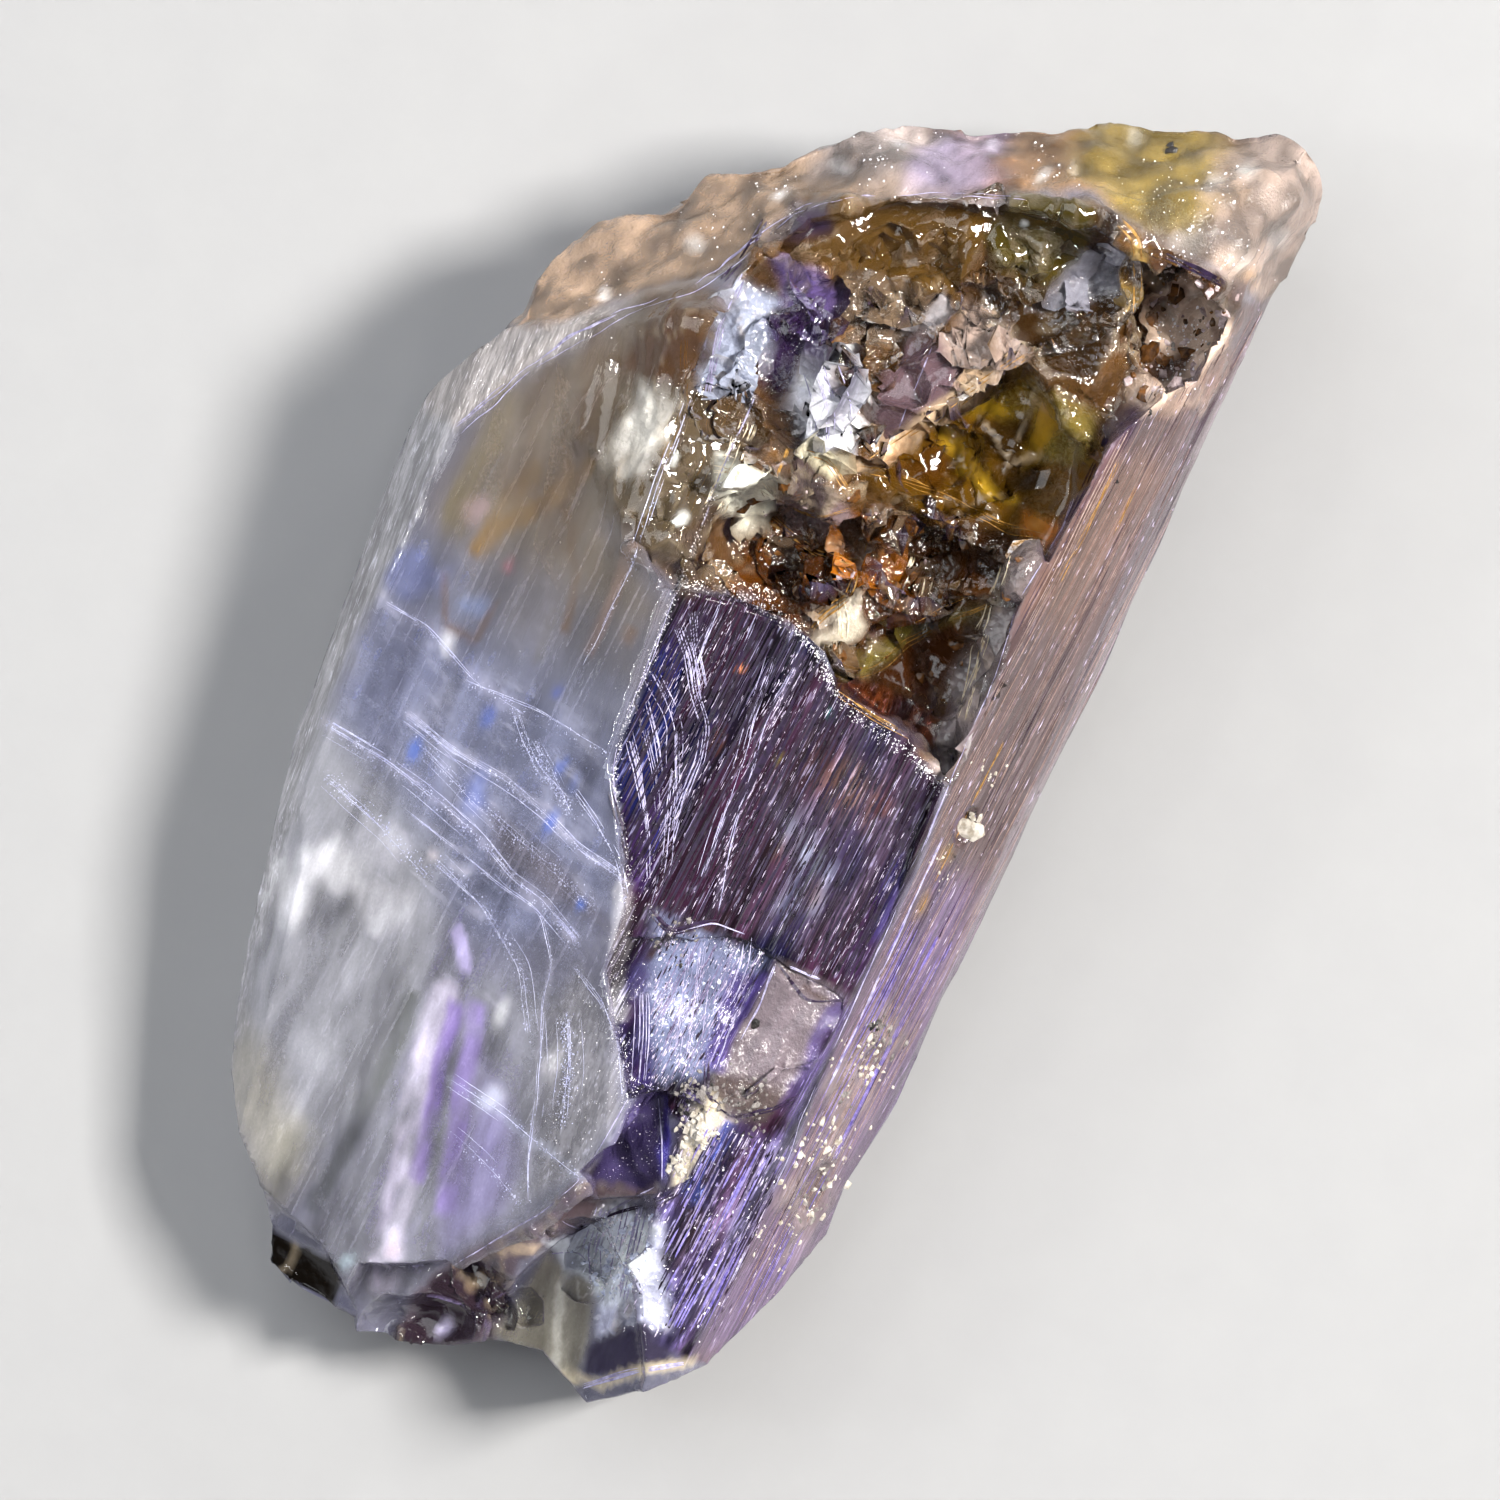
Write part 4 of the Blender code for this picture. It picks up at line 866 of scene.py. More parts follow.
class Graph:
    """One material's node tree and the few ways in which nodes are added to it."""

    def __init__(self, name: str) -> None:
        """Start an empty material.

        Args:
            name: the material's name.
        """
        self.material = bpy.data.materials.new(name)
        self.material.use_nodes = True
        self.tree = self.material.node_tree
        self.tree.nodes.clear()
        self.output = self.tree.nodes.new("ShaderNodeOutputMaterial")

    def node(
        self, kind: str, settings: dict[str, object], *sockets: object, **named: object
    ) -> bpy.types.Node:
        """Add a node.

        Args:
            kind: the node's type.
            settings: its properties, which are set first.
            sockets: values or links of its inputs in order, with None for one that stays as it is.
            named: values or links by input name, with _ for a space.

        Returns:
            The new node.
        """
        made = self.tree.nodes.new(kind)
        for key, value in settings.items():
            setattr(made, key, value)
        pairs = [*zip(made.inputs, sockets, strict=False)]
        pairs += [(made.inputs[key.replace("_", " ")], value) for key, value in named.items()]
        for socket, value in pairs:
            if value is None:
                continue
            source = value.socket if isinstance(value, Value) else value
            if isinstance(source, bpy.types.NodeSocket):
                self.tree.links.new(source, socket)
            else:
                socket.default_value = source
        return made

    def place(self) -> bpy.types.NodeSocket:
        """Give the place on the piece in millimetres."""
        where = self.node("ShaderNodeTexCoord", {}).outputs["Object"]
        return self.node("ShaderNodeVectorMath", {"operation": "SCALE"}, where, Scale=1.0 / MM).outputs[0]

    def noise(
        self, where: object, stretch: Sequence[float], detail: float = 2.0, shift: float = 0.0
    ) -> Value:
        """Add a noise texture.

        Args:
            where: the place in millimetres.
            stretch: lattice steps per millimetre along X, Y and Z.
            detail: how many finer layers it has.
            shift: how far it is moved, so that two noises differ.

        Returns:
            Values from 0 to 1.
        """
        moved = self.node("ShaderNodeMapping", {}, where, (shift,) * 3, None, tuple(stretch)).outputs[0]
        made = self.node("ShaderNodeTexNoise", {}, Vector=moved, Scale=1.0, Detail=detail, Roughness=0.55)
        return Value(self, made.outputs["Fac"])

    def cells(self, where: object, per_mm: float) -> tuple[Value, Value]:
        """Add irregular cells.

        Args:
            where: the place in millimetres.
            per_mm: about how many cells there are on a millimetre.

        Returns:
            A random brightness for each cell, and the distance from the cell's middle.
        """
        whole = self.node("ShaderNodeTexVoronoi", {"feature": "F1"}, Vector=where, Scale=per_mm)
        light = self.node("ShaderNodeSeparateColor", {}, whole.outputs["Color"]).outputs[0]
        return Value(self, light), Value(self, whole.outputs["Distance"])

    def channels(self, attribute: str) -> tuple[Value, Value, Value]:
        """Read the three numbers that a mesh attribute keeps.

        Args:
            attribute: the attribute's name.

        Returns:
            The three numbers.
        """
        read = self.node("ShaderNodeAttribute", {"attribute_name": attribute}).outputs["Color"]
        parts = self.node("ShaderNodeSeparateColor", {}, read).outputs
        return Value(self, parts[0]), Value(self, parts[1]), Value(self, parts[2])

    def colour(self, attribute: str) -> bpy.types.NodeSocket:
        """Give the colour that a mesh attribute keeps."""
        return self.node("ShaderNodeAttribute", {"attribute_name": attribute}).outputs["Color"]

    def mix(self, share: "Value | float", low: object, high: object) -> bpy.types.NodeSocket:
        """Blend two colours, each a socket or linear red, green and blue.

        Args:
            share: how much of the second one is seen.
            low: the first colour.
            high: the second colour.

        Returns:
            The blended colour.
        """
        ends = [end if isinstance(end, bpy.types.NodeSocket) else (*end, 1.0) for end in (low, high)]
        return self.node("ShaderNodeMix", {"data_type": "RGBA"}, share, *[None] * 5, *ends).outputs[2]

    def scaled(self, colour: object, share: "Value | float") -> bpy.types.NodeSocket:
        """Make a colour brighter or darker."""
        return self.node("ShaderNodeVectorMath", {"operation": "SCALE"}, colour, Scale=share).outputs[0]

    def bump(self, height: Value, distance: float, strength: float) -> bpy.types.NodeSocket:
        """Tilt the skin by a height whose full range is distance metres."""
        return self.node("ShaderNodeBump", {}, Strength=strength, Distance=distance, Height=height).outputs[0]

    def finish(self, shader: bpy.types.Node, volume: bpy.types.Node | None = None) -> bpy.types.Material:
        """Join the shader to the output.

        Args:
            shader: the skin's shader.
            volume: the inside's shader, if there is one.

        Returns:
            The finished material.
        """
        self.tree.links.new(shader.outputs[0], self.output.inputs["Surface"])
        if volume is not None:
            self.tree.links.new(volume.outputs[0], self.output.inputs["Volume"])
        return self.material


@dataclass(frozen=True)
class CrystalFinish:
    """See-through tanzanite whose skin is clouded, streaked and stained by what the mesh keeps."""

    index: float = 1.69
    absorption: float = 130.0
    clearing: float = 0.15
    relief: float = 0.04
    skin_index: float = 1.6
    skin_sheen: float = 0.28
    # Pale lilac of the painted glints along the growth lines.
    pale_streak: str = "b0aed2"
    veil: str = "dcdaea"
    inside: tuple[float, float, float, float] = (0.62, 0.56, 0.86, 1.0)

    def build(self) -> bpy.types.Material:
        """Make the material.

        Returns:
            A see-through skin mixed with a clouded one, over a faintly violet inside.
        """
        graph = Graph("tanzanite_stone")
        where = graph.place()
        tone = graph.colour("tone")
        lines, mosaic, frost = graph.channels("grain")
        haze, veil, streak = graph.channels("cloud")

        coarse = graph.noise(where, (4.0, 0.12, 4.0), 2.0)
        fine = graph.noise(where, (12.0, 0.16, 12.0), 2.0, 3.1)
        thread = graph.noise(where, (27.0, 0.5, 27.0), 1.0, 7.7)
        speck = graph.noise(where, (7.0, 3.0, 7.0), 3.0, 1.3)
        grit = graph.noise(where, (26.0, 20.0, 26.0), 2.0, 2.9)
        dash = graph.noise(where, (30.0, 2.6, 30.0), 1.0, 5.3)
        light, _ = graph.cells(where, 2.6)
        crumb, bowl = graph.cells(where, 8.0)
        cloud = graph.noise(where, (0.8, 0.5, 0.8), 4.0, 5.0)

        streaks = coarse * 0.35 + fine * 0.4 + thread * 0.25
        dark = (1.0 - streaks.rise(0.4, 0.6)) * lines
        # Painted glints: bright dashes along the growth lines are blended toward a brightened copy of the
        # tone and a pale lilac.
        bright = (fine * 0.35 + thread * 0.65).rise(0.5, 0.62) * lines * speck.rise(0.46, 0.62)
        bright = bright * dash.rise(0.42, 0.58)
        facet = 1.0 + mosaic * (light * 0.3 + crumb * 0.3 - 0.3)
        mottle = 0.75 + cloud * 0.5
        toned = graph.scaled(tone, (1.0 - dark * 0.8) * facet * mottle * (0.85 + grit * 0.3))
        pale = graph.mix(0.45, graph.scaled(tone, 2.4), linear(self.pale_streak))
        toned = graph.mix((bright * 0.85).clamped(), toned, pale)

        tilted = graph.node("ShaderNodeMapping", {}, where, None, (0.0, 0.0, 0.2)).outputs[0]
        gauze = graph.noise(tilted, (0.25, 1.5, 1.5), 3.0, 1.9)
        hair = graph.noise(tilted, (0.25, 5.0, 3.0), 2.0, 4.4)
        clump = graph.noise(where, (0.7, 0.7, 0.7), 5.0, 8.2)
        shroud = gauze.rise(0.42, 0.78) * clump.rise(0.35, 0.7) * 0.8
        shroud = shroud + hair.rise(0.56, 0.74) * clump.rise(0.45, 0.6) * 0.3
        shroud = (shroud * veil).clamped()
        tube = graph.noise(where, (1.3, 0.16, 1.3), 2.0, 6.6)
        hollow = graph.noise(where, (4.0, 0.25, 4.0), 1.0, 2.2)
        bands = (tube * 0.85 + hollow * 0.15 - 0.5) * streak
        toned = graph.scaled(toned, (1.0 + bands * 2.6).clamped_low())
        toned = graph.mix(shroud * 0.7, toned, linear(self.veil))

        relief = lines * (fine * 0.6 + thread * 0.4) + frost * (speck * 0.5 + grit * 0.7)
        relief = relief + mosaic * (grit * 0.25 + bowl * 0.7)
        normal = graph.bump(relief, self.relief * MM, 1.0)
        rough = (0.05 + frost * 0.16 + lines * 0.12 + (speck - 0.5) * 0.1).clamped()

        body = graph.node(
            "ShaderNodeBsdfPrincipled", {}, Base_Color=toned, Roughness=rough, IOR=self.skin_index,
            Normal=normal, Specular_IOR_Level=self.skin_sheen,
        )
        through = graph.node("ShaderNodeGamma", {}, toned, 0.55)
        tint = graph.mix(self.clearing, graph.scaled(through.outputs[0], 1.25), (0.95, 0.95, 1.0))
        glass = graph.node(
            "ShaderNodeBsdfPrincipled", {}, Base_Color=tint, Roughness=rough, IOR=self.index,
            Normal=normal, Transmission_Weight=1.0,
        )
        share = (haze + bright * 0.4 + shroud * 0.4 + bands * 0.35 + (cloud - 0.5) * 0.3).clamped()
        mixed = graph.node("ShaderNodeMixShader", {}, share, glass.outputs[0], body.outputs[0])
        inside = graph.node(
            "ShaderNodeVolumeAbsorption", {}, Color=self.inside, Density=self.absorption
        )
        return graph.finish(mixed, inside)


@dataclass(frozen=True)
class VeilFinish:
    """A thin sealed sheet of tiny bubbles or stain inside the stone, broken up by noise."""

    name: str
    tone: str
    stretch: tuple[float, float, float]
    low: float
    high: float
    most: float = 0.85

    def build(self) -> bpy.types.Material:
        """Make the material.

        Returns:
            A cloudy skin whose alpha leaves ragged wisps.
        """
        graph = Graph(self.name)
        where = graph.place()
        wisp = graph.noise(where, self.stretch, 5.0, 2.0)
        fleck = graph.noise(where, (14.0, 14.0, 14.0), 2.0, 9.0)
        alpha = wisp.rise(self.low, self.high) * (0.35 + fleck.rise(0.3, 0.7) * 0.65) * self.most
        toned = graph.mix(fleck.rise(0.3, 0.8), linear(self.tone), (0.9, 0.9, 0.95))
        skin = graph.node(
            "ShaderNodeBsdfPrincipled", {}, Base_Color=toned, Roughness=0.4 + fleck * 0.3, Alpha=alpha,
        )
        return graph.finish(skin)


@dataclass(frozen=True)
class GrainFinish:
    """Opaque matrix that is stuck on the stone or grown into it."""

    name: str
    tone: str
    dark: str
    rough: float = 0.6

    def build(self) -> bpy.types.Material:
        """Make the material.

        Returns:
            A stony skin with crumbs of two colours.
        """
        graph = Graph(self.name)
        where = graph.place()
        crumb, _ = graph.cells(where, 11.0)
        grit = graph.noise(where, (9.0, 9.0, 9.0), 4.0)
        share = (crumb * 0.5 + grit.rise(0.35, 0.65) * 0.6).clamped()
        toned = graph.mix(share, linear(self.dark), linear(self.tone))
        skin = graph.node(
            "ShaderNodeBsdfPrincipled", {}, Base_Color=toned, Roughness=self.rough + (grit - 0.5) * 0.3,
            Normal=graph.bump(grit, 0.00003, 0.8), Specular_IOR_Level=0.3,
        )
        return graph.finish(skin)


def new_piece(name: str, shape: bmesh.types.BMesh, finish: bpy.types.Material) -> bpy.types.Object:
    """Turn a bmesh in millimetres into a finished piece that rides on the stone.

    Args:
        name: the piece's name.
        shape: its shape, which is freed here.
        finish: its material.

    Returns:
        The new object at the origin.
    """
    bmesh.ops.scale(shape, vec=(MM, MM, MM), verts=shape.verts)
    mesh = bpy.data.meshes.new(name)
    shape.to_mesh(mesh)
    shape.free()
    mesh.materials.append(finish)
    piece = bpy.data.objects.new(name, mesh)
    bpy.context.scene.collection.objects.link(piece)
    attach(piece, BODY)
    LOG.info("%s: %d faces", name, len(mesh.polygons))
    return piece


@dataclass
class StoneSkin:
    """Works out what each point of the stone's skin looks like and how far it stands out."""

    seed: int = 11
    line_depth: float = 0.035
    ridge_depth: float = 0.05
    block_depth: float = 0.8
    chip_depth: float = 0.2
    shell_depth: float = 0.3
    wax_depth: float = 0.22
    etch_depth: float = 0.09
    clear_depth: float = 0.03
    ripple_depth: float = 0.012
    ripple_step: float = 0.3
    ripple_middle: tuple[float, float, float] = (2.9, 5.4, 3.0)
    bare_tone: str = "9a9aae"
    bare_haze: float = 0.35
    side_tones: tuple[str, str] = ("6f6488", "8f90a6")
    side_haze: float = 0.72
    back_tones: tuple[str, str] = ("5c5270", "a9abc0")
    back_brown: str = "7a5a34"
    back_haze: float = 0.8

    def __post_init__(self) -> None:
        """Make the noises that every answer shares."""
        self.noise = ValueNoise(self.seed)
        self.blocks = BrokenCells(self.seed + 1, 1.5, 0.6, 0.45)
        self.chips = BrokenCells(self.seed + 2, 0.6, 0.8, 0.4)
        self.shells = BrokenCells(self.seed + 3, 1.5, 0.9, 0.3)

    def paint(self, points: Array, normals: Array) -> dict[str, Array]:
        """Blend every patch, stroke and spot in their order.

        Args:
            points: N by 3 places in millimetres.
            normals: N by 3 directions out of the stone.

        Returns:
            The colour "tone", the "haze" and one weight for each relief.
        """
        count = len(points)
        flat = points[:, :2]
        shake = np.stack([
            self.noise.at(points, (1.6, 1.6, 1.6), 3),
            self.noise.at(points + 31.0, (1.6, 1.6, 1.6), 3),
        ], axis=1)
        gaps = self.noise.at(points + 57.0, (3.5, 2.0, 3.5), 2)
        tone = np.tile(linear(self.bare_tone), (count, 1))
        haze = np.full(count, self.bare_haze)
        weights = {kind: np.zeros(count) for kind in Relief}
        weights[Relief.CLEAR][:] = 1.0
        for patch in PATCHES:
            weight = patch.weight(flat, shake)
            blend(tone, patch.tone, weight)
            haze += (patch.haze - haze) * weight
            if patch.relief is not None:
                for kind in Relief:
                    weights[kind] += ((kind is patch.relief) - weights[kind]) * weight
        for stroke in STROKES:
            weight = stroke.weight(flat, shake, gaps)
            blend(tone, stroke.tone, weight)
            haze += (stroke.haze - haze) * weight
        for spot in SPOTS:
            weight = spot.weight(flat, shake)
            blend(tone, spot.tone, weight)
            haze += (spot.haze - haze) * weight
        self._turn_away(points, normals, tone, haze, weights)
        facing = smooth(-0.1, 0.4, normals[:, 2])
        veil = self._spread(VEIL_AREAS, flat, shake) * facing * weights[Relief.CLEAR]
        streak = self._spread(STREAK_AREAS, flat, shake) * facing * weights[Relief.CLEAR]
        return {"tone": tone, "haze": haze, "weights": weights, "veil": veil, "streak": streak}

    @staticmethod
    def _spread(areas: Sequence[Area], places: Array, shake: Array) -> Array:
        """Give the greatest strength among some areas at each place.

        Args:
            areas: the areas.
            places: N by 2 places in millimetres.
            shake: N by 2 values around 0 that roughen the outlines.

        Returns:
            N values from 0 to 1.
        """
        best = np.zeros(len(places))
        for area in areas:
            patch = Patch("", "000000", 0.0, area.outline, edge=area.edge, cover=area.strength, wobble=0.3)
            best = np.maximum(best, patch.weight(places, shake))
        return best

    def _turn_away(
        self, points: Array, normals: Array, tone: Array, haze: Array, weights: dict[Relief, Array]
    ) -> None:
        """Paint the steep sides and the back, which the seen side's patches don't describe.

        Args:
            points: N by 3 places in millimetres.
            normals: N by 3 directions out of the stone.
            tone: N colours, which are changed.
            haze: N cloudings, which are changed.
            weights: the share of each relief, which is changed.
        """
        still = np.zeros((len(points), 2))
        kept = [patch for patch in PATCHES if patch.name in KEPT]
        inner = np.max([patch.weight(points[:, :2], still) for patch in kept], axis=0)
        steep = (1.0 - smooth(-0.1, 0.35, normals[:, 2])) * (1.0 - inner * (normals[:, 2] > -0.1))
        streak = self.noise.at(points + 11.0, (1.4, 0.2, 1.4), 3)
        right_tone, left_tone = (np.array(linear(code))[None] for code in self.side_tones)
        side = right_tone * (1.0 + 0.6 * streak[:, None])
        left = smooth(1.0, -3.0, points[:, 0])[:, None]
        side = side * (1.0 - left) + left_tone * (1.0 + 0.4 * streak[:, None]) * left
        depth = points[:, 2] + 1.5 * self.noise.at(points + 91.0, (0.5, 0.5, 0.9), 3)
        rim = weights[Relief.WAXY] * smooth(0.4, 3.4, depth)
        share = (steep * 0.75 * (1.0 - 0.85 * rim))[:, None]
        tone += (side - tone) * share
        # Painted shade: the steep walls inside the pit and the dark corner are darkened.
        tone *= 1.0 - (0.45 * inner * (1.0 - smooth(0.0, 0.3, normals[:, 2])))[:, None]
        haze += (self.side_haze - haze) * steep * 0.7
        back = smooth(0.3, 0.8, -normals[:, 2])
        right_tone, left_tone = (np.array(linear(code))[None] for code in self.back_tones)
        under = right_tone * (1.0 - left) + left_tone * left
        brown = smooth(0.5, 2.5, points[:, 1])[:, None] * (1.0 - left)
        under = under * (1.0 - brown) + np.array(linear(self.back_brown))[None] * brown
        under = under * (1.0 + 0.8 * streak[:, None])
        tone += (under - tone) * back[:, None]
        haze += (self.back_haze - 0.25 * left[:, 0] - haze) * back
        for kind in Relief:
            weights[kind] *= 1.0 - steep * (0.45 if kind is Relief.WAXY else 0.8)
        weights[Relief.LINES] += steep * 0.3 * (1.0 - back)
        weights[Relief.SATIN] += back * 0.3

    def relief(self, points: Array, weights: dict[Relief, Array]) -> tuple[Array, Array, Array]:
        """Give how far each point stands out, how bright its facet is and how near it is to a crest.

        Args:
            points: N by 3 places in millimetres.
            weights: the share of each relief at each point.

        Returns:
            Heights in millimetres, brightness values from 0 to 1, and crests from 0 to 1.
        """
        noise = self.noise
        fine = noise.at(points, (14.0, 0.14, 14.0))
        ridge = noise.at(points + 3.0, (4.2, 0.1, 4.2), 2)
        terrace = np.round(noise.at(points + 9.0, (2.2, 0.12, 2.2)) * 4.0) / 4.0
        lines = self.line_depth * fine + self.ridge_depth * (0.6 * ridge + 0.6 * terrace)
        shifts = (13.0, 29.0, 47.0)
        warp = np.stack([noise.at(points + shift, (0.9,) * 3, 2) for shift in shifts], axis=1) * 0.35
        block, block_light, block_seam = self.blocks.read(points + warp)
        chip, chip_light, chip_seam = self.chips.read(points + 0.5 * warp)
        hackle = self.block_depth * np.clip(block - 0.08, -0.5, 0.5)
        hackle = hackle + self.chip_depth * np.clip(chip, -0.3, 0.3)
        bowl, _, shell_seam = self.shells.read(points + warp)
        round_middle = np.hypot(*(points - np.array(self.ripple_middle))[:, :2].T)
        sway = 2.0 * noise.at(points, (0.6,) * 3)
        ripple = np.sin(round_middle * 2.0 * math.pi / self.ripple_step + sway)
        shell = self.shell_depth * bowl + self.ripple_depth * ripple
        wax = self.wax_depth * (
            noise.at(points, (1.1, 1.1, 1.1)) + 0.5 * noise.at(points + 5.0, (3.2, 3.2, 3.2), 2))
        steps = np.round(noise.at(points + 2.0, (5.0, 2.6, 5.0), 2) * 3.0)
        etched = self.etch_depth * steps / 3.0 + 0.3 * chip
        clear = self.clear_depth * noise.at(points, (0.9, 0.12, 0.9)) + 0.006 * fine
        worn = 1.0 - sum(weights.values())
        height = (
            worn * (0.1 * noise.at(points + 8.0, (0.5, 0.4, 0.5), 2) + 0.3 * lines)
            + weights[Relief.LINES] * lines + weights[Relief.SATIN] * 0.45 * lines
            + weights[Relief.HACKLE] * hackle + weights[Relief.SHELL] * shell + weights[Relief.WAXY] * wax
            + weights[Relief.ETCHED] * etched + weights[Relief.CLEAR] * clear
        )
        broad, narrow = noise.at(points + 71.0, (1.3,) * 3, 2), noise.at(points + 83.0, (1.5,) * 3, 2)
        crest = (1.0 - smooth(0.02, 0.10, block_seam)) * smooth(-0.2, 0.4, broad)
        finer = 0.5 * (1.0 - smooth(0.01, 0.06, chip_seam)) * smooth(0.0, 0.4, narrow)
        crest = np.maximum(crest, finer) * weights[Relief.HACKLE]
        crest += weights[Relief.SHELL] * 0.6 * (1.0 - smooth(0.01, 0.07, shell_seam))
        return height, 0.7 * block_light + 0.3 * chip_light, np.clip(crest, 0.0, 1.0)


@dataclass
class CrystalBody:
    """The stone's outer skin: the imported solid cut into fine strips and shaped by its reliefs."""

    seed: int = 5
    strip: float = 0.065
    along: float = 0.115
    upright: float = 0.28
    under: float = 0.5
    corner: Point = (4.5, 10.87)
    corner_reach: float = 1.05
    crease: float = 38.0
    # Pale tone of the painted highlights on the crests of the broken facets.
    crest_tone: str = "d8c3a4"
    blotch_tones: tuple[str, str] = ("381c30", "0e0e30")
    skin: StoneSkin = field(default_factory=StoneSkin)

    def build(self, node: bpy.types.Object) -> bpy.types.Object:
        """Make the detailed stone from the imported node's mesh.

        Args:
            node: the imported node, which is left alone.

        Returns:
            The finished piece.
        """
        shape = bmesh.new()
        shape.from_mesh(node.data)
        bmesh.ops.scale(shape, vec=(1 / MM,) * 3, verts=shape.verts)
        bmesh.ops.remove_doubles(shape, verts=shape.verts, dist=0.0005)
        draw = random.Random(self.seed)
        x_ends, y_ends = (-6.0, 6.0), (-12.0, 12.0)
        self._slice(shape, 0, self._cuts(draw, *x_ends, self.strip), self._seen)
        rows = self._cuts(draw, -12.0, -6.6, self.along) + self._cuts(draw, -6.6, 0.6, 1.25 * self.along)
        rows += self._cuts(draw, 0.6, 9.5, self.along) + self._cuts(draw, 9.5, 12.0, 1.3 * self.along)
        self._slice(shape, 1, rows, self._seen)
        self._slice(shape, 0, self._cuts(draw, *x_ends, 3.0 * self.strip), self._turned)
        self._slice(shape, 1, self._cuts(draw, *y_ends, 2.0 * self.along), self._turned)
        self._slice(shape, 2, self._cuts(draw, 0.0, 7.1, self.upright), lambda n: abs(n.z) < 0.6)
        self._slice(shape, 0, self._cuts(draw, *x_ends, self.under), lambda n: n.z <= -0.5)
        self._slice(shape, 1, self._cuts(draw, *y_ends, self.under), lambda n: n.z <= -0.5)
        bmesh.ops.remove_doubles(shape, verts=shape.verts, dist=3.0 * SNAP)
        bmesh.ops.triangulate(shape, faces=shape.faces, quad_method="BEAUTY", ngon_method="BEAUTY")
        shape.normal_update()
        piece = new_piece("crystal_stone", shape, CrystalFinish().build())
        self._shape_and_paint(piece.data)
        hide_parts(NODE)
        return piece

    @staticmethod
    def _seen(normal: Vector) -> bool:
        """Tell whether a face with this normal can be seen from above."""
        return normal.z > -0.05

    @staticmethod
    def _turned(normal: Vector) -> bool:
        """Tell whether a face with this normal is turned a little to the ground."""
        return -0.5 < normal.z <= -0.05

    @staticmethod
    def _cuts(draw: random.Random, low: float, high: float, step: float) -> list[float]:
        """Give places for cuts with uneven steps around one width.

        Args:
            draw: the random numbers.
            low: where the cuts start.
            high: where they end.
            step: the mean step.

        Returns:
            The places, rising.
        """
        cuts, at = [], low
        while at < high:
            at += step * draw.uniform(0.7, 1.3)
            cuts.append(at)
        return cuts

    @staticmethod
    def _slice(
        shape: bmesh.types.BMesh, axis: int, cuts: Sequence[float], wanted: Callable[[Vector], bool]
    ) -> None:
        """Cut the faces that are wanted by planes across one axis.

        Args:
            shape: the mesh.
            axis: 0, 1 or 2.
            cuts: the planes' places, rising.
            wanted: tells from a face's normal whether it is cut.
        """
        spans = []
        for face in shape.faces:
            if wanted(face.normal):
                reach = [vert.co[axis] for vert in face.verts]
                spans.append((min(reach), max(reach), face))
        spans.sort(key=lambda span: span[0])
        normal = Vector([float(axis == k) for k in range(3)])
        waiting, active = 0, []
        for cut in cuts:
            while waiting < len(spans) and spans[waiting][0] < cut - SNAP:
                active.append(spans[waiting][1:])
                waiting += 1
            active = [(high, face) for high, face in active if high > cut + SNAP]
            if not active:
                continue
            faces = [face for _, face in active]
            edges = {edge for face in faces for edge in face.edges}
            verts = {vert for face in faces for vert in face.verts}
            made = bmesh.ops.bisect_plane(
                shape, geom=[*verts, *edges, *faces], dist=SNAP, plane_co=normal * cut, plane_no=normal
            )
            active = []
            for part in made["geom"]:
                if isinstance(part, bmesh.types.BMFace):
                    high = max(vert.co[axis] for vert in part.verts)
                    if high > cut + SNAP:
                        active.append((high, part))

    def _shape_and_paint(self, mesh: bpy.types.Mesh) -> None:
        """Move the mesh's points by the relief and keep the look of each one as attributes.

        Args:
            mesh: the stone's mesh in metres, which is changed.
        """
        count = len(mesh.vertices)
        flat = np.zeros(count * 3, np.float32)
        mesh.vertices.foreach_get("co", flat)
        points = flat.reshape(-1, 3).astype(float) / MM
        mesh.vertex_normals.foreach_get("vector", flat)
        normals = flat.reshape(-1, 3).astype(float)
        look = self.skin.paint(points, normals)
        height, light, crest = self.skin.relief(points, look["weights"])
        height *= 1.0 - smooth(0.85, 0.98, -normals[:, 2])
        moved = points + normals * height[:, None]
        moved[:, 2] = np.maximum(moved[:, 2], np.where(points[:, 2] < 0.02, points[:, 2], 0.01))
        weights = look["weights"]
        broken = weights[Relief.HACKLE] + 0.5 * weights[Relief.ETCHED] + 0.2 * weights[Relief.SHELL]
        lines = weights[Relief.LINES] + 0.55 * weights[Relief.SATIN] + 0.1 * weights[Relief.CLEAR]
        frost = 0.8 * weights[Relief.WAXY] + 0.5 * weights[Relief.ETCHED] + 0.12 * weights[Relief.SATIN]
        tone = look["tone"] * (1.0 + broken[:, None] * (light[:, None] * 1.8 - 0.95))
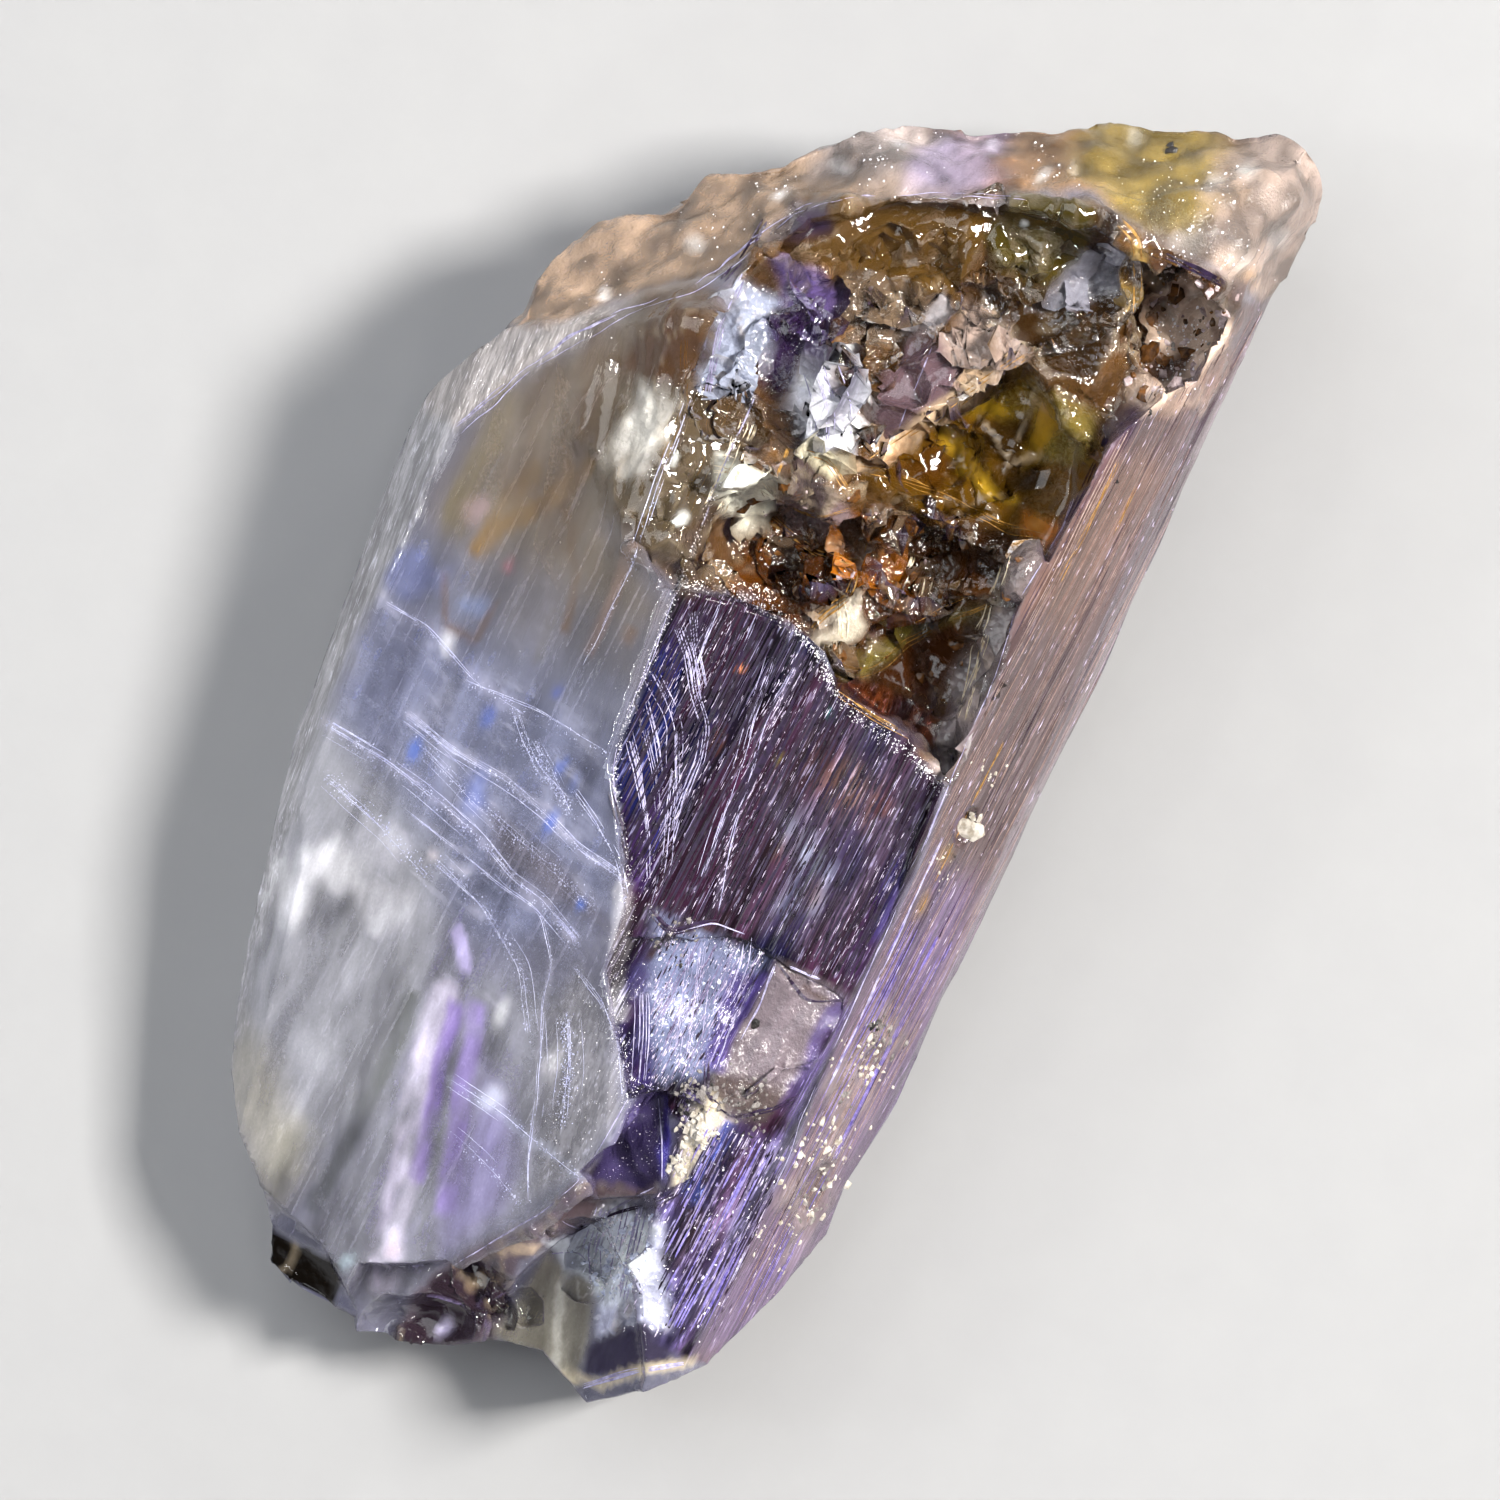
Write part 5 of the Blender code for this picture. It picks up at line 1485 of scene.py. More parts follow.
        # Painted highlights: the crests of the broken facets are blended toward a pale tone.
        blend(tone, self.crest_tone, crest * 0.45)
        noise = self.skin.noise
        mottle = noise.at(points + 5.0, (2.2, 2.2, 2.2), 4)
        tone *= 1.0 + (1.5 * np.clip(mottle, -0.36, 0.6) * weights[Relief.WAXY])[:, None]
        blotch = noise.at(points + 17.0, (1.7, 0.45, 1.7), 3)
        for code, side in zip(self.blotch_tones, (1.0, -1.0), strict=True):
            blend(tone, code, 0.65 * smooth(0.02, 0.26, side * blotch) * weights[Relief.LINES])
        stripe = noise.at(points + 23.0, (5.0, 0.14, 5.0), 2)
        tone *= 1.0 + (1.3 * stripe * (weights[Relief.LINES] + 0.2 * weights[Relief.SATIN]))[:, None]
        self._round_corner(moved)
        mesh.vertices.foreach_set("co", (moved * MM).astype(np.float32).ravel())
        self._keep(mesh, "tone", np.clip(tone, 0.0, 1.0))
        self._keep(mesh, "grain", np.stack([lines, broken, frost], axis=1))
        haze = np.clip(look["haze"], 0, 1)
        self._keep(mesh, "cloud", np.stack([haze, look["veil"], look["streak"]], axis=1))
        mesh.polygons.foreach_set("use_smooth", np.ones(len(mesh.polygons), bool))
        mesh.set_sharp_from_angle(angle=math.radians(self.crease))
        mesh.update()

    def _round_corner(self, places: Array) -> None:
        """Pull the points past the upper corner's radius back to it.

        Args:
            places: N by 3 places in millimetres, which are changed.
        """
        away = places[:, :2] - np.array(self.corner)
        reach = np.hypot(*away.T)
        beyond = (reach > self.corner_reach) & (away[:, 1] > 0.0) & (away[:, 0] > -0.4)
        wanted = self.corner_reach + 0.1 * (reach - self.corner_reach)
        pull = np.where(beyond, wanted / np.maximum(reach, 1e-6), 1.0)
        places[:, :2] = np.array(self.corner) + away * pull[:, None]

    @staticmethod
    def _keep(mesh: bpy.types.Mesh, name: str, values: Array) -> None:
        """Keep three numbers for each point as a colour attribute.

        Args:
            mesh: the mesh.
            name: the attribute's name.
            values: N by 3 numbers.
        """
        kept = mesh.color_attributes.new(name, "FLOAT_COLOR", "POINT")
        full = np.concatenate([values, np.ones((len(values), 1))], axis=1)
        kept.data.foreach_set("color", full.astype(np.float32).ravel())


class Ground:
    """Finds the stone's skin at a place of the seen side."""

    ABOVE = 0.02

    def __init__(self, stone: bpy.types.Object) -> None:
        """Read the stone's final mesh.

        Args:
            stone: the finished stone.
        """
        shape = bmesh.new()
        shape.from_mesh(stone.data)
        self.tree = BVHTree.FromBMesh(shape)
        shape.free()

    def top(self, x: float, y: float) -> float | None:
        """Give the height of the skin seen at a place in millimetres, or None beside the stone."""
        hit = self.tree.ray_cast(Vector((x * MM, y * MM, self.ABOVE)), Vector((0, 0, -1)))[0]
        return None if hit is None else hit.z / MM


@dataclass
class SealedSheet:
    """A veil that starts just under the skin along a line and dips into the stone."""

    name: str
    finish: VeilFinish
    line: tuple[Point, ...]
    drift: Point
    depths: tuple[float, float]
    seed: int
    rows: int = 26
    columns: int = 70
    sway: float = 0.12
    least_depth: float = 0.3
    thickness: float = 0.012

    def build(self, ground: Ground) -> bpy.types.Object:
        """Make the sheet.

        Args:
            ground: the stone's skin.

        Returns:
            The finished piece, a closed sheet about a hundredth of a millimetre thick.
        """
        noise = ValueNoise(self.seed)
        shape = bmesh.new()
        bmesh.ops.create_grid(shape, x_segments=self.columns, y_segments=self.rows, size=0.5)
        lost = []
        for vert in shape.verts:
            along, down = vert.co.x + 0.5, vert.co.y + 0.5
            x, y = self._on_line(along)
            x, y = x + self.drift[0] * down, y + self.drift[1] * down
            sway = noise.at(np.array([[x, y, 2.0]]), (0.7, 0.7, 0.7), 2)[0]
            top = ground.top(x, y)
            depth = self.depths[0] + (self.depths[1] - self.depths[0]) * down + self.sway * (1.0 + sway)
            if top is None or top - depth < self.least_depth:
                lost.append(vert)
            else:
                vert.co = (x, y, top - depth)
        bmesh.ops.delete(shape, geom=lost, context="VERTS")
        bmesh.ops.smooth_vert(shape, verts=shape.verts, factor=0.5, use_axis_z=True)
        bmesh.ops.solidify(shape, geom=shape.faces, thickness=self.thickness)
        bmesh.ops.recalc_face_normals(shape, faces=shape.faces)
        return new_piece(self.name, shape, self.finish.build())

    def _on_line(self, share: float) -> Point:
        """Give the place at a share of the line's length.

        Args:
            share: the share from 0 to 1.

        Returns:
            X and Y in millimetres.
        """
        runs = [math.dist(a, b) for a, b in zip(self.line, self.line[1:], strict=False)]
        left = share * sum(runs)
        for (x0, y0), (x1, y1), run in zip(self.line, self.line[1:], runs, strict=False):
            if left <= run:
                part = left / run
                return x0 + (x1 - x0) * part, y0 + (y1 - y0) * part
            left -= run
        return self.line[-1]


def drawn_place(draw: random.Random, outline: Sequence[Point]) -> Point:
    """Draw a place in the box round an outline.

    Args:
        draw: the random numbers.
        outline: the outline's corners.

    Returns:
        X and Y in millimetres.
    """
    xs, ys = zip(*outline, strict=True)
    return draw.uniform(min(xs), max(xs)), draw.uniform(min(ys), max(ys))


@dataclass
class SealedFlakes:
    """Small flat flakes or thin needles that are sealed in the stone below one area."""

    name: str
    finish: VeilFinish | GrainFinish
    outline: tuple[Point, ...]
    count: int
    across: tuple[float, float]
    depth: tuple[float, float]
    seed: int
    stretch: float = 1.0
    tilt: float = 0.9
    corners: int = 7
    least_height: float = 0.4
    thickness: float = 0.012

    def build(self, ground: Ground) -> bpy.types.Object:
        """Make the flakes as one piece.

        Args:
            ground: the stone's skin.

        Returns:
            The finished piece.
        """
        draw = random.Random(self.seed)
        shape = bmesh.new()
        made = 0
        while made < self.count:
            x, y = drawn_place(draw, self.outline)
            if not within(np.array([[x, y]]), self.outline)[0]:
                continue
            made += 1
            radius = 0.5 * draw.uniform(*self.across)
            lean = draw.uniform(-self.tilt, self.tilt)
            turn = draw.uniform(0, math.tau)
            dip = 1.0 if self.stretch == 1.0 else 0.3
            deep = draw.uniform(*self.depth) + radius * abs(math.sin(lean)) * dip
            ends = [ground.top(x, y + radius * self.stretch * side) for side in (-0.9, 0.0, 0.9)]
            if None in ends or min(ends) - deep < self.least_height:
                continue
            disc = bmesh.ops.create_cone(
                shape, cap_ends=True, segments=self.corners, radius1=radius, radius2=radius * 0.96,
                depth=self.thickness,
            )["verts"]
            for vert in disc:
                vert.co.x *= 1.0 + 0.25 * math.sin(3.1 * vert.co.y / radius + turn)
            if self.stretch == 1.0:
                place = Matrix.Rotation(turn, 4, "Z") @ Matrix.Rotation(lean, 4, "X")
            else:
                rise = (ends[2] - ends[0]) / (1.8 * radius * self.stretch)
                shear = Matrix.Identity(4)
                shear[2][1] = max(-STEEPEST, min(STEEPEST, rise))
                longer = Matrix.Diagonal((1.0, self.stretch, 1.0, 1.0))
                place = shear @ longer @ Matrix.Rotation(lean, 4, "Y")
            sunk = Matrix.Translation((x, y, min(ends) - deep))
            bmesh.ops.transform(shape, matrix=sunk @ place, verts=disc)
        return new_piece(self.name, shape, self.finish.build())


def even_path(line: Sequence[Point], step: float = 0.06, rounds: int = 6) -> Array:
    """Turn a line's corners into evenly spaced places on a softened line.

    Args:
        line: the corners.
        step: the distance between two places in millimetres.
        rounds: how often the line is softened.

    Returns:
        N by 2 places.
    """
    corners = np.asarray(line, float)
    runs = np.concatenate([[0.0], np.cumsum(np.hypot(*np.diff(corners, axis=0).T))])
    along = np.linspace(0.0, runs[-1], max(4, int(runs[-1] / step)))
    places = np.stack([np.interp(along, runs, corners[:, axis]) for axis in (0, 1)], axis=1)
    for _ in range(rounds):
        places[1:-1] = 0.25 * places[:-2] + 0.5 * places[1:-1] + 0.25 * places[2:]
    return places


def sideways(ahead: Array) -> Array:
    """Give the level directions across a path.

    Args:
        ahead: N by 2 or more steps along the path.

    Returns:
        N by 2 directions of length 1.
    """
    across = np.stack([-ahead[:, 1], ahead[:, 0]], axis=1)
    return across / np.maximum(np.hypot(*ahead.T[:2]), 1e-9)[:, None]


class Pile:
    """Collects thousands of small closed shapes into one piece."""

    JUMP = 0.12
    FLATNESS = 0.7
    FEWEST = 4
    BESIDE = -99.0

    def __init__(self) -> None:
        """Start with nothing."""
        self.points: list[Array] = []
        self.faces: list[Array] = []
        self.count = 0
        self.tubes: dict[int, tuple[Array, Array]] = {}

    @staticmethod
    def read(shape: bmesh.types.BMesh) -> tuple[Array, Array]:
        """Read a bmesh as triangles and free it.

        Args:
            shape: the mesh.

        Returns:
            N by 3 points and M by 3 indices.
        """
        bmesh.ops.recalc_face_normals(shape, faces=shape.faces)
        bmesh.ops.triangulate(shape, faces=shape.faces)
        shape.verts.index_update()
        points = np.array([vert.co[:] for vert in shape.verts])
        faces = np.array([[vert.index for vert in face.verts] for face in shape.faces])
        shape.free()
        return points, faces

    def add(self, points: Array, faces: Array) -> None:
        """Add one shape.

        Args:
            points: N by 3 places in millimetres.
            faces: M by 3 indices of them.
        """
        self.points.append(points)
        self.faces.append(faces + self.count)
        self.count += len(points)

    def tube(self, count: int) -> tuple[Array, Array]:
        """Give a tapered tube of some steps along X with a radius of 1.

        Args:
            count: the number of steps.

        Returns:
            Its points, with the step as X, and its triangles.
        """
        if count not in self.tubes:
            shape = bmesh.new()
            bmesh.ops.create_grid(shape, x_segments=count, y_segments=3, size=0.5)
            for vert in shape.verts:
                at = round((vert.co.x + 0.5) * count)
                turn = math.tau * (vert.co.y + 0.5)
                thick = math.sin(math.pi * at / count) ** 0.5 if 0 < at < count else 0.0
                vert.co = (at, thick * math.cos(turn), thick * math.sin(turn))
            bmesh.ops.remove_doubles(shape, verts=shape.verts, dist=1e-4)
            self.tubes[count] = self.read(shape)
        return self.tubes[count]

    def lay(self, ground: Ground, places: Array, radius: float, lift: float) -> None:
        """Lay thin tapered tubes along places on the stone, with a new one wherever the skin jumps.

        Args:
            ground: the stone's skin.
            places: N by 2 places in millimetres.
            radius: the tube's greatest radius.
            lift: how far its middle stands above the skin, below 0 for a sealed one.
        """
        tops = [ground.top(x, y) for x, y in places]
        heights = np.array([self.BESIDE if top is None else top + lift for top in tops])
        jumps = np.flatnonzero(np.abs(np.diff(heights)) > self.JUMP) + 1
        for run in np.split(np.column_stack([places, heights]), jumps):
            if len(run) < self.FEWEST or run[0, 2] < 0:
                continue
            points, faces = self.tube(len(run) - 1)
            across = sideways(np.gradient(run, axis=0))
            at = np.round(points[:, 0]).astype(int)
            moved = run[at]
            moved[:, :2] += across[at] * (radius * points[:, 1:2])
            moved[:, 2] += self.FLATNESS * radius * points[:, 2]
            self.add(moved, faces)

    def piece(self, name: str, finish: bpy.types.Material) -> bpy.types.Object:
        """Make the finished piece.

        Args:
            name: the piece's name.
            finish: its material.

        Returns:
            The new object at the origin.
        """
        mesh = bpy.data.meshes.new(name)
        mesh.from_pydata(np.concatenate(self.points).tolist(), [], np.concatenate(self.faces).tolist())
        shape = bmesh.new()
        shape.from_mesh(mesh)
        bpy.data.meshes.remove(mesh)
        return new_piece(name, shape, finish)


@dataclass
class Threads:
    """Frosted edges, scratches, steps and veil lines as real fine ridges."""

    name: str
    finish: GrainFinish
    threads: tuple[Thread, ...]
    seed: int
    steps: tuple[int, int] = (6, 34)
    widths: tuple[float, float] = (0.55, 1.2)

    def build(self, ground: Ground) -> bpy.types.Object:
        """Make the lines as one piece.

        Args:
            ground: the stone's skin.

        Returns:
            The finished piece.
        """
        draw = random.Random(self.seed)
        noise = ValueNoise(self.seed)
        pile = Pile()
        for thread in self.threads:
            places = even_path(thread.line)
            across = sideways(np.gradient(places, axis=0))
            for strand in range(thread.strands):
                shift = draw.gauss(0.0, thread.spread) if strand else 0.0
                where = np.concatenate([places, np.full((len(places), 1), 3.0 * strand)], axis=1)
                sway = thread.wobble * noise.at(where, (1.3, 1.3, 1.3), 3)
                moved = places + across * (shift + sway)[:, None]
                start = 0
                while start < len(moved) - 3:
                    run = int(draw.uniform(*self.steps))
                    width = thread.width * draw.uniform(*self.widths)
                    pile.lay(ground, moved[start : start + run], 0.5 * width, thread.lift)
                    start += run - 1 + int(run * thread.breaks * draw.uniform(0.0, 2.0))
        return pile.piece(self.name, self.finish.build())


@dataclass
class GrowthLines:
    """Long hair-fine growth lines that run with the crystal's length."""

    name: str
    finish: GrainFinish
    areas: tuple[Growth, ...]
    seed: int
    step: float = 0.1
    bend: float = 0.01

    def build(self, ground: Ground) -> bpy.types.Object:
        """Make the lines as one piece.

        Args:
            ground: the stone's skin.

        Returns:
            The finished piece.
        """
        draw = random.Random(self.seed)
        pile = Pile()
        for area in self.areas:
            xs, ys = zip(*area.outline, strict=True)
            for _ in range(area.count):
                x, low = draw.uniform(min(xs), max(xs)), draw.uniform(min(ys) - area.long[0], max(ys))
                high = low + draw.uniform(*area.long)
                places = np.stack([np.full(int((high - low) / self.step) + 2, x)] * 2, axis=1)
                places[:, 1] = np.linspace(low, high, len(places))
                places[:, 0] += self.bend * np.sin(places[:, 1] * 1.7 + 9.0 * x)
                places = places[within(places, area.outline)]
                if len(places) > 4:
                    pile.lay(ground, places, 0.5 * draw.uniform(*area.width), area.lift)
        return pile.piece(self.name, self.finish.build())


@dataclass
class Specks:
    """Tiny glints, dashes, bubbles or lumps of matrix: thousands of small shapes in one piece."""

    name: str
    finish: GrainFinish
    scatters: tuple[Scatter, ...]
    seed: int
    lumpy: bool = False

    def build(self, ground: Ground) -> bpy.types.Object:
        """Make the specks as one piece.

        Args:
            ground: the stone's skin.

        Returns:
            The finished piece.
        """
        draw = random.Random(self.seed)
        noise = ValueNoise(self.seed)
        pile = Pile()
        shape = bmesh.new()
        if self.lumpy:
            bmesh.ops.create_icosphere(shape, subdivisions=1, radius=1.0)
        else:
            bmesh.ops.create_uvsphere(shape, u_segments=4, v_segments=2, radius=1.0)
        points, faces = pile.read(shape)
        for scatter in self.scatters:
            low, high = scatter.across
            for x, y, share in self._places(scatter, draw):
                thick = noise.at(np.array([[x, y, 4.0]]), (1.6, 0.5, 1.0), 2)[0] if scatter.patchy else 1.0
                if thick < scatter.patchy * draw.uniform(-0.5, 0.9):
                    continue
                radius = 0.5 * (low + (high - low) * draw.random() ** 2)
                long = radius * draw.uniform(1.0, scatter.long)
                ends = [ground.top(x, y + side * long) for side in (-1.0, 0.0, 1.0)]
                if None in ends:
                    continue
                turn, axle = draw.uniform(0, math.tau), Vector((draw.random(), draw.random(), 1))
                spin = Matrix.Rotation(turn, 4, axle)
                sizes = (1.0, draw.uniform(0.6, 1.5), draw.uniform(0.5, 1.0), 1.0)
                squash = Matrix.Diagonal(sizes) * radius
                turned = points * draw.uniform(0.8, 1.2)
                if self.lumpy:
                    turned = turned * np.array([[draw.uniform(0.6, 1.3)] for _ in points])
                turned = turned @ np.array(squash @ spin)[:3, :3].T * (1.0, 1.0, 0.5 if self.lumpy else 1.0)
                if scatter.long > 1.0:
                    turned = points * (radius, long, 0.6 * radius)
                    rise = (ends[2] - ends[0]) / (2.0 * long)
                    turned[:, 2] += turned[:, 1] * max(-STEEPEST, min(STEEPEST, rise))
                lift = scatter.lift[0] + (scatter.lift[1] - scatter.lift[0]) * share
                pile.add(turned + (x, y, max(ends[1] + lift, 0.15)), faces)
        return pile.piece(self.name, self.finish.build())

    @staticmethod
    def _places(scatter: Scatter, draw: random.Random) -> Iterable[tuple[float, float, float]]:
        """Draw each speck's place and its share of the way from the first lift to the second.

        Args:
            scatter: where the specks are.
            draw: the random numbers.

        Yields:
            X and Y in millimetres, and a share from 0 to 1.
        """
        if scatter.drift is None:
            for _ in range(scatter.count):
                x, y = drawn_place(draw, scatter.line)
                if within(np.array([[x, y]]), scatter.line)[0]:
                    yield x, y, draw.random()
            return
        path = even_path(scatter.line)
        for _ in range(scatter.count):
            x, y = path[draw.randrange(len(path))]
            share = draw.random() ** 2
            x += scatter.drift[0] * share + draw.gauss(0, scatter.spread)
            y += scatter.drift[1] * share + draw.gauss(0, scatter.spread)
            yield x, y, share


def clumps(text: str) -> tuple[Scatter, ...]:
    """Read a table of grains round single places, which sit a little deeper than the skin.

    Args:
        text: X and Y in millimetres, how far most grains lie from there, their number, and the sizes of the
            smallest and the greatest grain, one clump to a row.

    Returns:
        One scatter for each clump.
    """
    made = []
    for row in text.strip().splitlines():
        x, y, reach, count, low, high = (float(word) for word in row.split())
        line = ((x, y - 0.01), (x, y + 0.01))
        made.append(Scatter(line, int(count), (low, high), (-0.08 * low,) * 2, (0.0, 0.0), 0.5 * reach))
    return tuple(made)


def along(line: tuple[Point, ...], count: int, across: Point, spread: float, long: float = 1.0) -> Scatter:
    """Describe specks on the skin along a line.

    Args:
        line: the line's corners.
        count: the number of specks.
        across: the smallest and the greatest speck.
        spread: how far most specks lie from the line.
        long: how many times longer than wide a speck may be.

    Returns:
        The scatter.
    """
    return Scatter(line, count, across, (0.0, 0.0), (0.0, 0.0), spread, long)


WHITE_CLUMPS = clumps("""
-4.2 4.6 0.8 24 0.01 0.05
-3.1 6.3 0.6 26 0.01 0.05
-2.4 7.4 0.5 24 0.01 0.06
-1.3 8.6 0.5 30 0.01 0.06
-0.6 9.3 0.5 20 0.01 0.05
1.3 9.7 0.4 26 0.01 0.07
3.1 10.3 0.6 24 0.01 0.05
3.85 10.6 0.5 34 0.01 0.07
3.9 9.75 0.6 40 0.01 0.07
4.75 9.8 0.5 26 0.01 0.06
4.5 8.3 0.5 90 0.01 0.06
4.6 7.7 0.4 50 0.01 0.06
3.7 9.3 0.3 30 0.01 0.06
""")
PALE_CLUMPS = clumps("""
5 -0.12 0.1 5 0.1 0.24
3.3 -6.6 0.3 80 0.04 0.2
3.3 -7.2 0.2 40 0.04 0.16
5.35 -6.1 0.75 80 0.02 0.16
5.2 -4.4 0.5 50 0.02 0.15
5.35 -7.6 0.6 40 0.02 0.12
4.9 0.6 0.3 12 0.03 0.1
4.86 -1.1 0.3 14 0.03 0.09
1.25 -10.35 0.1 6 0.05 0.14
""")
GREY_CLUMPS = clumps("""
2.95 -6.1 0.3 90 0.03 0.13
3.8 -5.85 0.5 110 0.02 0.11
5.25 -3.9 0.35 70 0.02 0.13
1.6 -3.9 0.4 40 0.02 0.09
5.1 -5.05 0.2 14 0.04 0.12
4.2 7.9 0.6 24 0.04 0.12
5.5 -6.8 0.5 40 0.03 0.14
""")
BLACK_CLUMPS = clumps("""
3.32 -4.62 0.03 3 0.12 0.2
2.9 10.9 0.05 2 0.14 0.2
4.55 5.72 0.03 1 0.12 0.14
4.52 6.95 0.04 2 0.08 0.12
3.1 -6.4 0.2 9 0.05 0.14
5.08 -3.8 0.1 6 0.06 0.14
2.2 -6.35 0.08 3 0.06 0.12
5 -0.75 0.15 5 0.03 0.09
1.8 -10.65 0.1 4 0.08 0.16
2.8 -5.95 0.3 10 0.04 0.12
1.45 -4.1 0.3 14 0.03 0.1
3.9 -6 0.5 16 0.03 0.09
""")
DARK_LINE = GrainFinish("line_dark", "2a1838", "140818", 0.4)


@dataclass
class Inside:
    """Everything that is sealed in the stone: veils, growth tubes, colour flashes and stained cracks."""

    dips: int = 15

    def build(self, ground: Ground) -> None:
        """Make the sealed pieces.

        Args:
            ground: the stone's skin.
        """
        for part in (*self._sheets(), *self._lines(), *self._flakes()):
            part.build(ground)

    @staticmethod
    def _sheets() -> tuple[SealedSheet, ...]:
        """List the veils and the stained cracks.

        Returns:
            The pieces to build.
        """
        mist = VeilFinish("veil_mist", "d6d6ea", (1.6, 3.2, 2.0), 0.42, 0.68, 0.8)
        smoke = VeilFinish("veil_smoke", "c2c4dc", (2.2, 0.5, 2.0), 0.44, 0.7, 0.6)
        rust = VeilFinish("veil_rust", "9a6a34", (1.8, 1.2, 1.8), 0.4, 0.62, 0.75)
        rows = (
            ("veil_upper", mist, "-4.9,-1.5 -3,-1.9 -0.8,-1.95", (0.3, -1.6), (0.12, 1.8), 21),
            ("veil_middle", mist, "-5,-2.7 -3,-3 -1,-3.2 0.4,-3.6", (0.4, -1.5), (0.1, 1.6), 22),
            ("veil_lower", mist, "-4.9,-3.6 -3,-3.8 -1,-4.4 0.4,-5", (0.5, -1.8), (0.12, 1.7), 23),
            ("veil_foot", mist, "-0.9,-7.5 0.6,-7.8 1.8,-8.1", (0.2, -1.2), (0.1, 1.2), 24),
            ("veil_left", smoke, "-4.4,-5.4 -3.6,-8.4 -2.2,-10.2", (1.9, -0.3), (0.4, 1.6), 25),
            ("veil_curved", smoke, "0,-5 0.2,-6 0.8,-7.3 1.3,-8.6", (-1.4, -0.4), (0.1, 1.4), 26),
            ("stain_upper", rust, "-4.2,3.4 -3.6,2 -3.2,0.6", (0.9, -0.4), (0.3, 1.4), 27),
            ("stain_left", rust, "-4.8,2.4 -4.5,1.2 -4.3,0", (0.7, -0.3), (0.3, 1.2), 28),
        )
        return tuple(SealedSheet(name, finish, way(line), *rest) for name, finish, line, *rest in rows)

    def _lines(self) -> tuple[Threads | Specks, ...]:
        """List the healed cracks, the dark rods and the bubbles round the cracks.

        Returns:
            The pieces to build.
        """
        bubble = GrainFinish("bubble", "cdcfe8", "9a9cc2", 0.4)
        near = tuple(
            Scatter(
                thread.line, int(40 + 900 * thread.strands * thread.spread), (0.008, 0.032), (0.0, -0.02),
                (0.1, -0.2), 0.4 * thread.spread + 0.01,
            )
            for thread in VEIL_LINES
        )
        deeper = tuple(
            Scatter(
                thread.line, int(60 + 500 * thread.strands * thread.spread), (0.012, 0.04), (-0.03, -0.9),
                (0.25, -0.9), 0.06,
            )
            for thread in VEIL_LINES[: self.dips]
        )
        return (
            Threads("lines_veil", bubble, VEIL_LINES, 58),
            Threads("lines_rod", GrainFinish("rod", "6a6670", "3c3a48", 0.4), ROD_LINES, 59),
            Specks("veil_dots", bubble, near + deeper, 60),
        )

    @staticmethod
    def _flakes() -> tuple[SealedFlakes, ...]:
        """List the flakes and the needles.

        Returns:
            The pieces to build.
        """
        left = way(
            "-4.9,2.5 -2.4,4 -1.2,0.5 -0.7,-1.8 0.4,-4 1.6,-6.4 1.2,-8.6 0,-10.6 -1.8,-10.6 -3.6,-8.8 "
            "-4.6,-5 -5,-1"
        )
        upper = way("-4.9,0 -3,-0.6 -0.8,-1.6 0.3,-3.4 0.2,-5 -2.6,-5.4 -4.8,-3.8")
        lower = way("-1.6,-5.4 -0.4,-5.8 0.9,-8.2 0.4,-10.2 -0.6,-10.4 -1.3,-8")
        pit = way("-2,5 -1.9,6.8 0,8 2,9 3.4,9 4.4,8.2 3.9,6 3.9,3.4 4,1.2 2.4,1 0,1.6 -2.2,2.6")
        amber = way("1,4.2 2.4,6.4 3.9,6.1 3.9,1.2 2.2,1.2 -0.2,2.2 0,3.2")
        blue = VeilFinish("flash_blue", "4f72f0", (1.5, 0.7, 1.5), 0.35, 0.6, 0.8)
        violet = VeilFinish("flash_violet", "8a5fe6", (2.0, 0.4, 2.0), 0.3, 0.5, 0.8)
        tube = GrainFinish("tube_pale", "eceaf6", "b9b6cc", 0.4)
        gold = VeilFinish("flake_gold", "c08a1e", (2.0, 2.0, 2.0), 0.25, 0.45, 0.95)
        pale = VeilFinish("flake_pale", "efe9e0", (2.5, 2.5, 2.5), 0.3, 0.5, 0.95)
        return (
            SealedFlakes("flash_blue", blue, upper, 40, (0.08, 0.26), (0.15, 1.2), 31, 2.2, 0.6),
            SealedFlakes("flash_violet", violet, lower, 26, (0.1, 0.3), (0.2, 1.0), 32, 6.0, 0.5),
            SealedFlakes("tubes_pale", tube, left, 260, (0.02, 0.06), (0.15, 2.2), 33, 30.0, 0.6),
            SealedFlakes("flakes_gold", gold, amber, 90, (0.25, 0.9), (0.2, 1.2), 34, 1.0, 0.8),
            SealedFlakes("flakes_pale", pale, pit, 90, (0.2, 0.7), (0.15, 0.9), 35, 1.0, 0.9),
        )


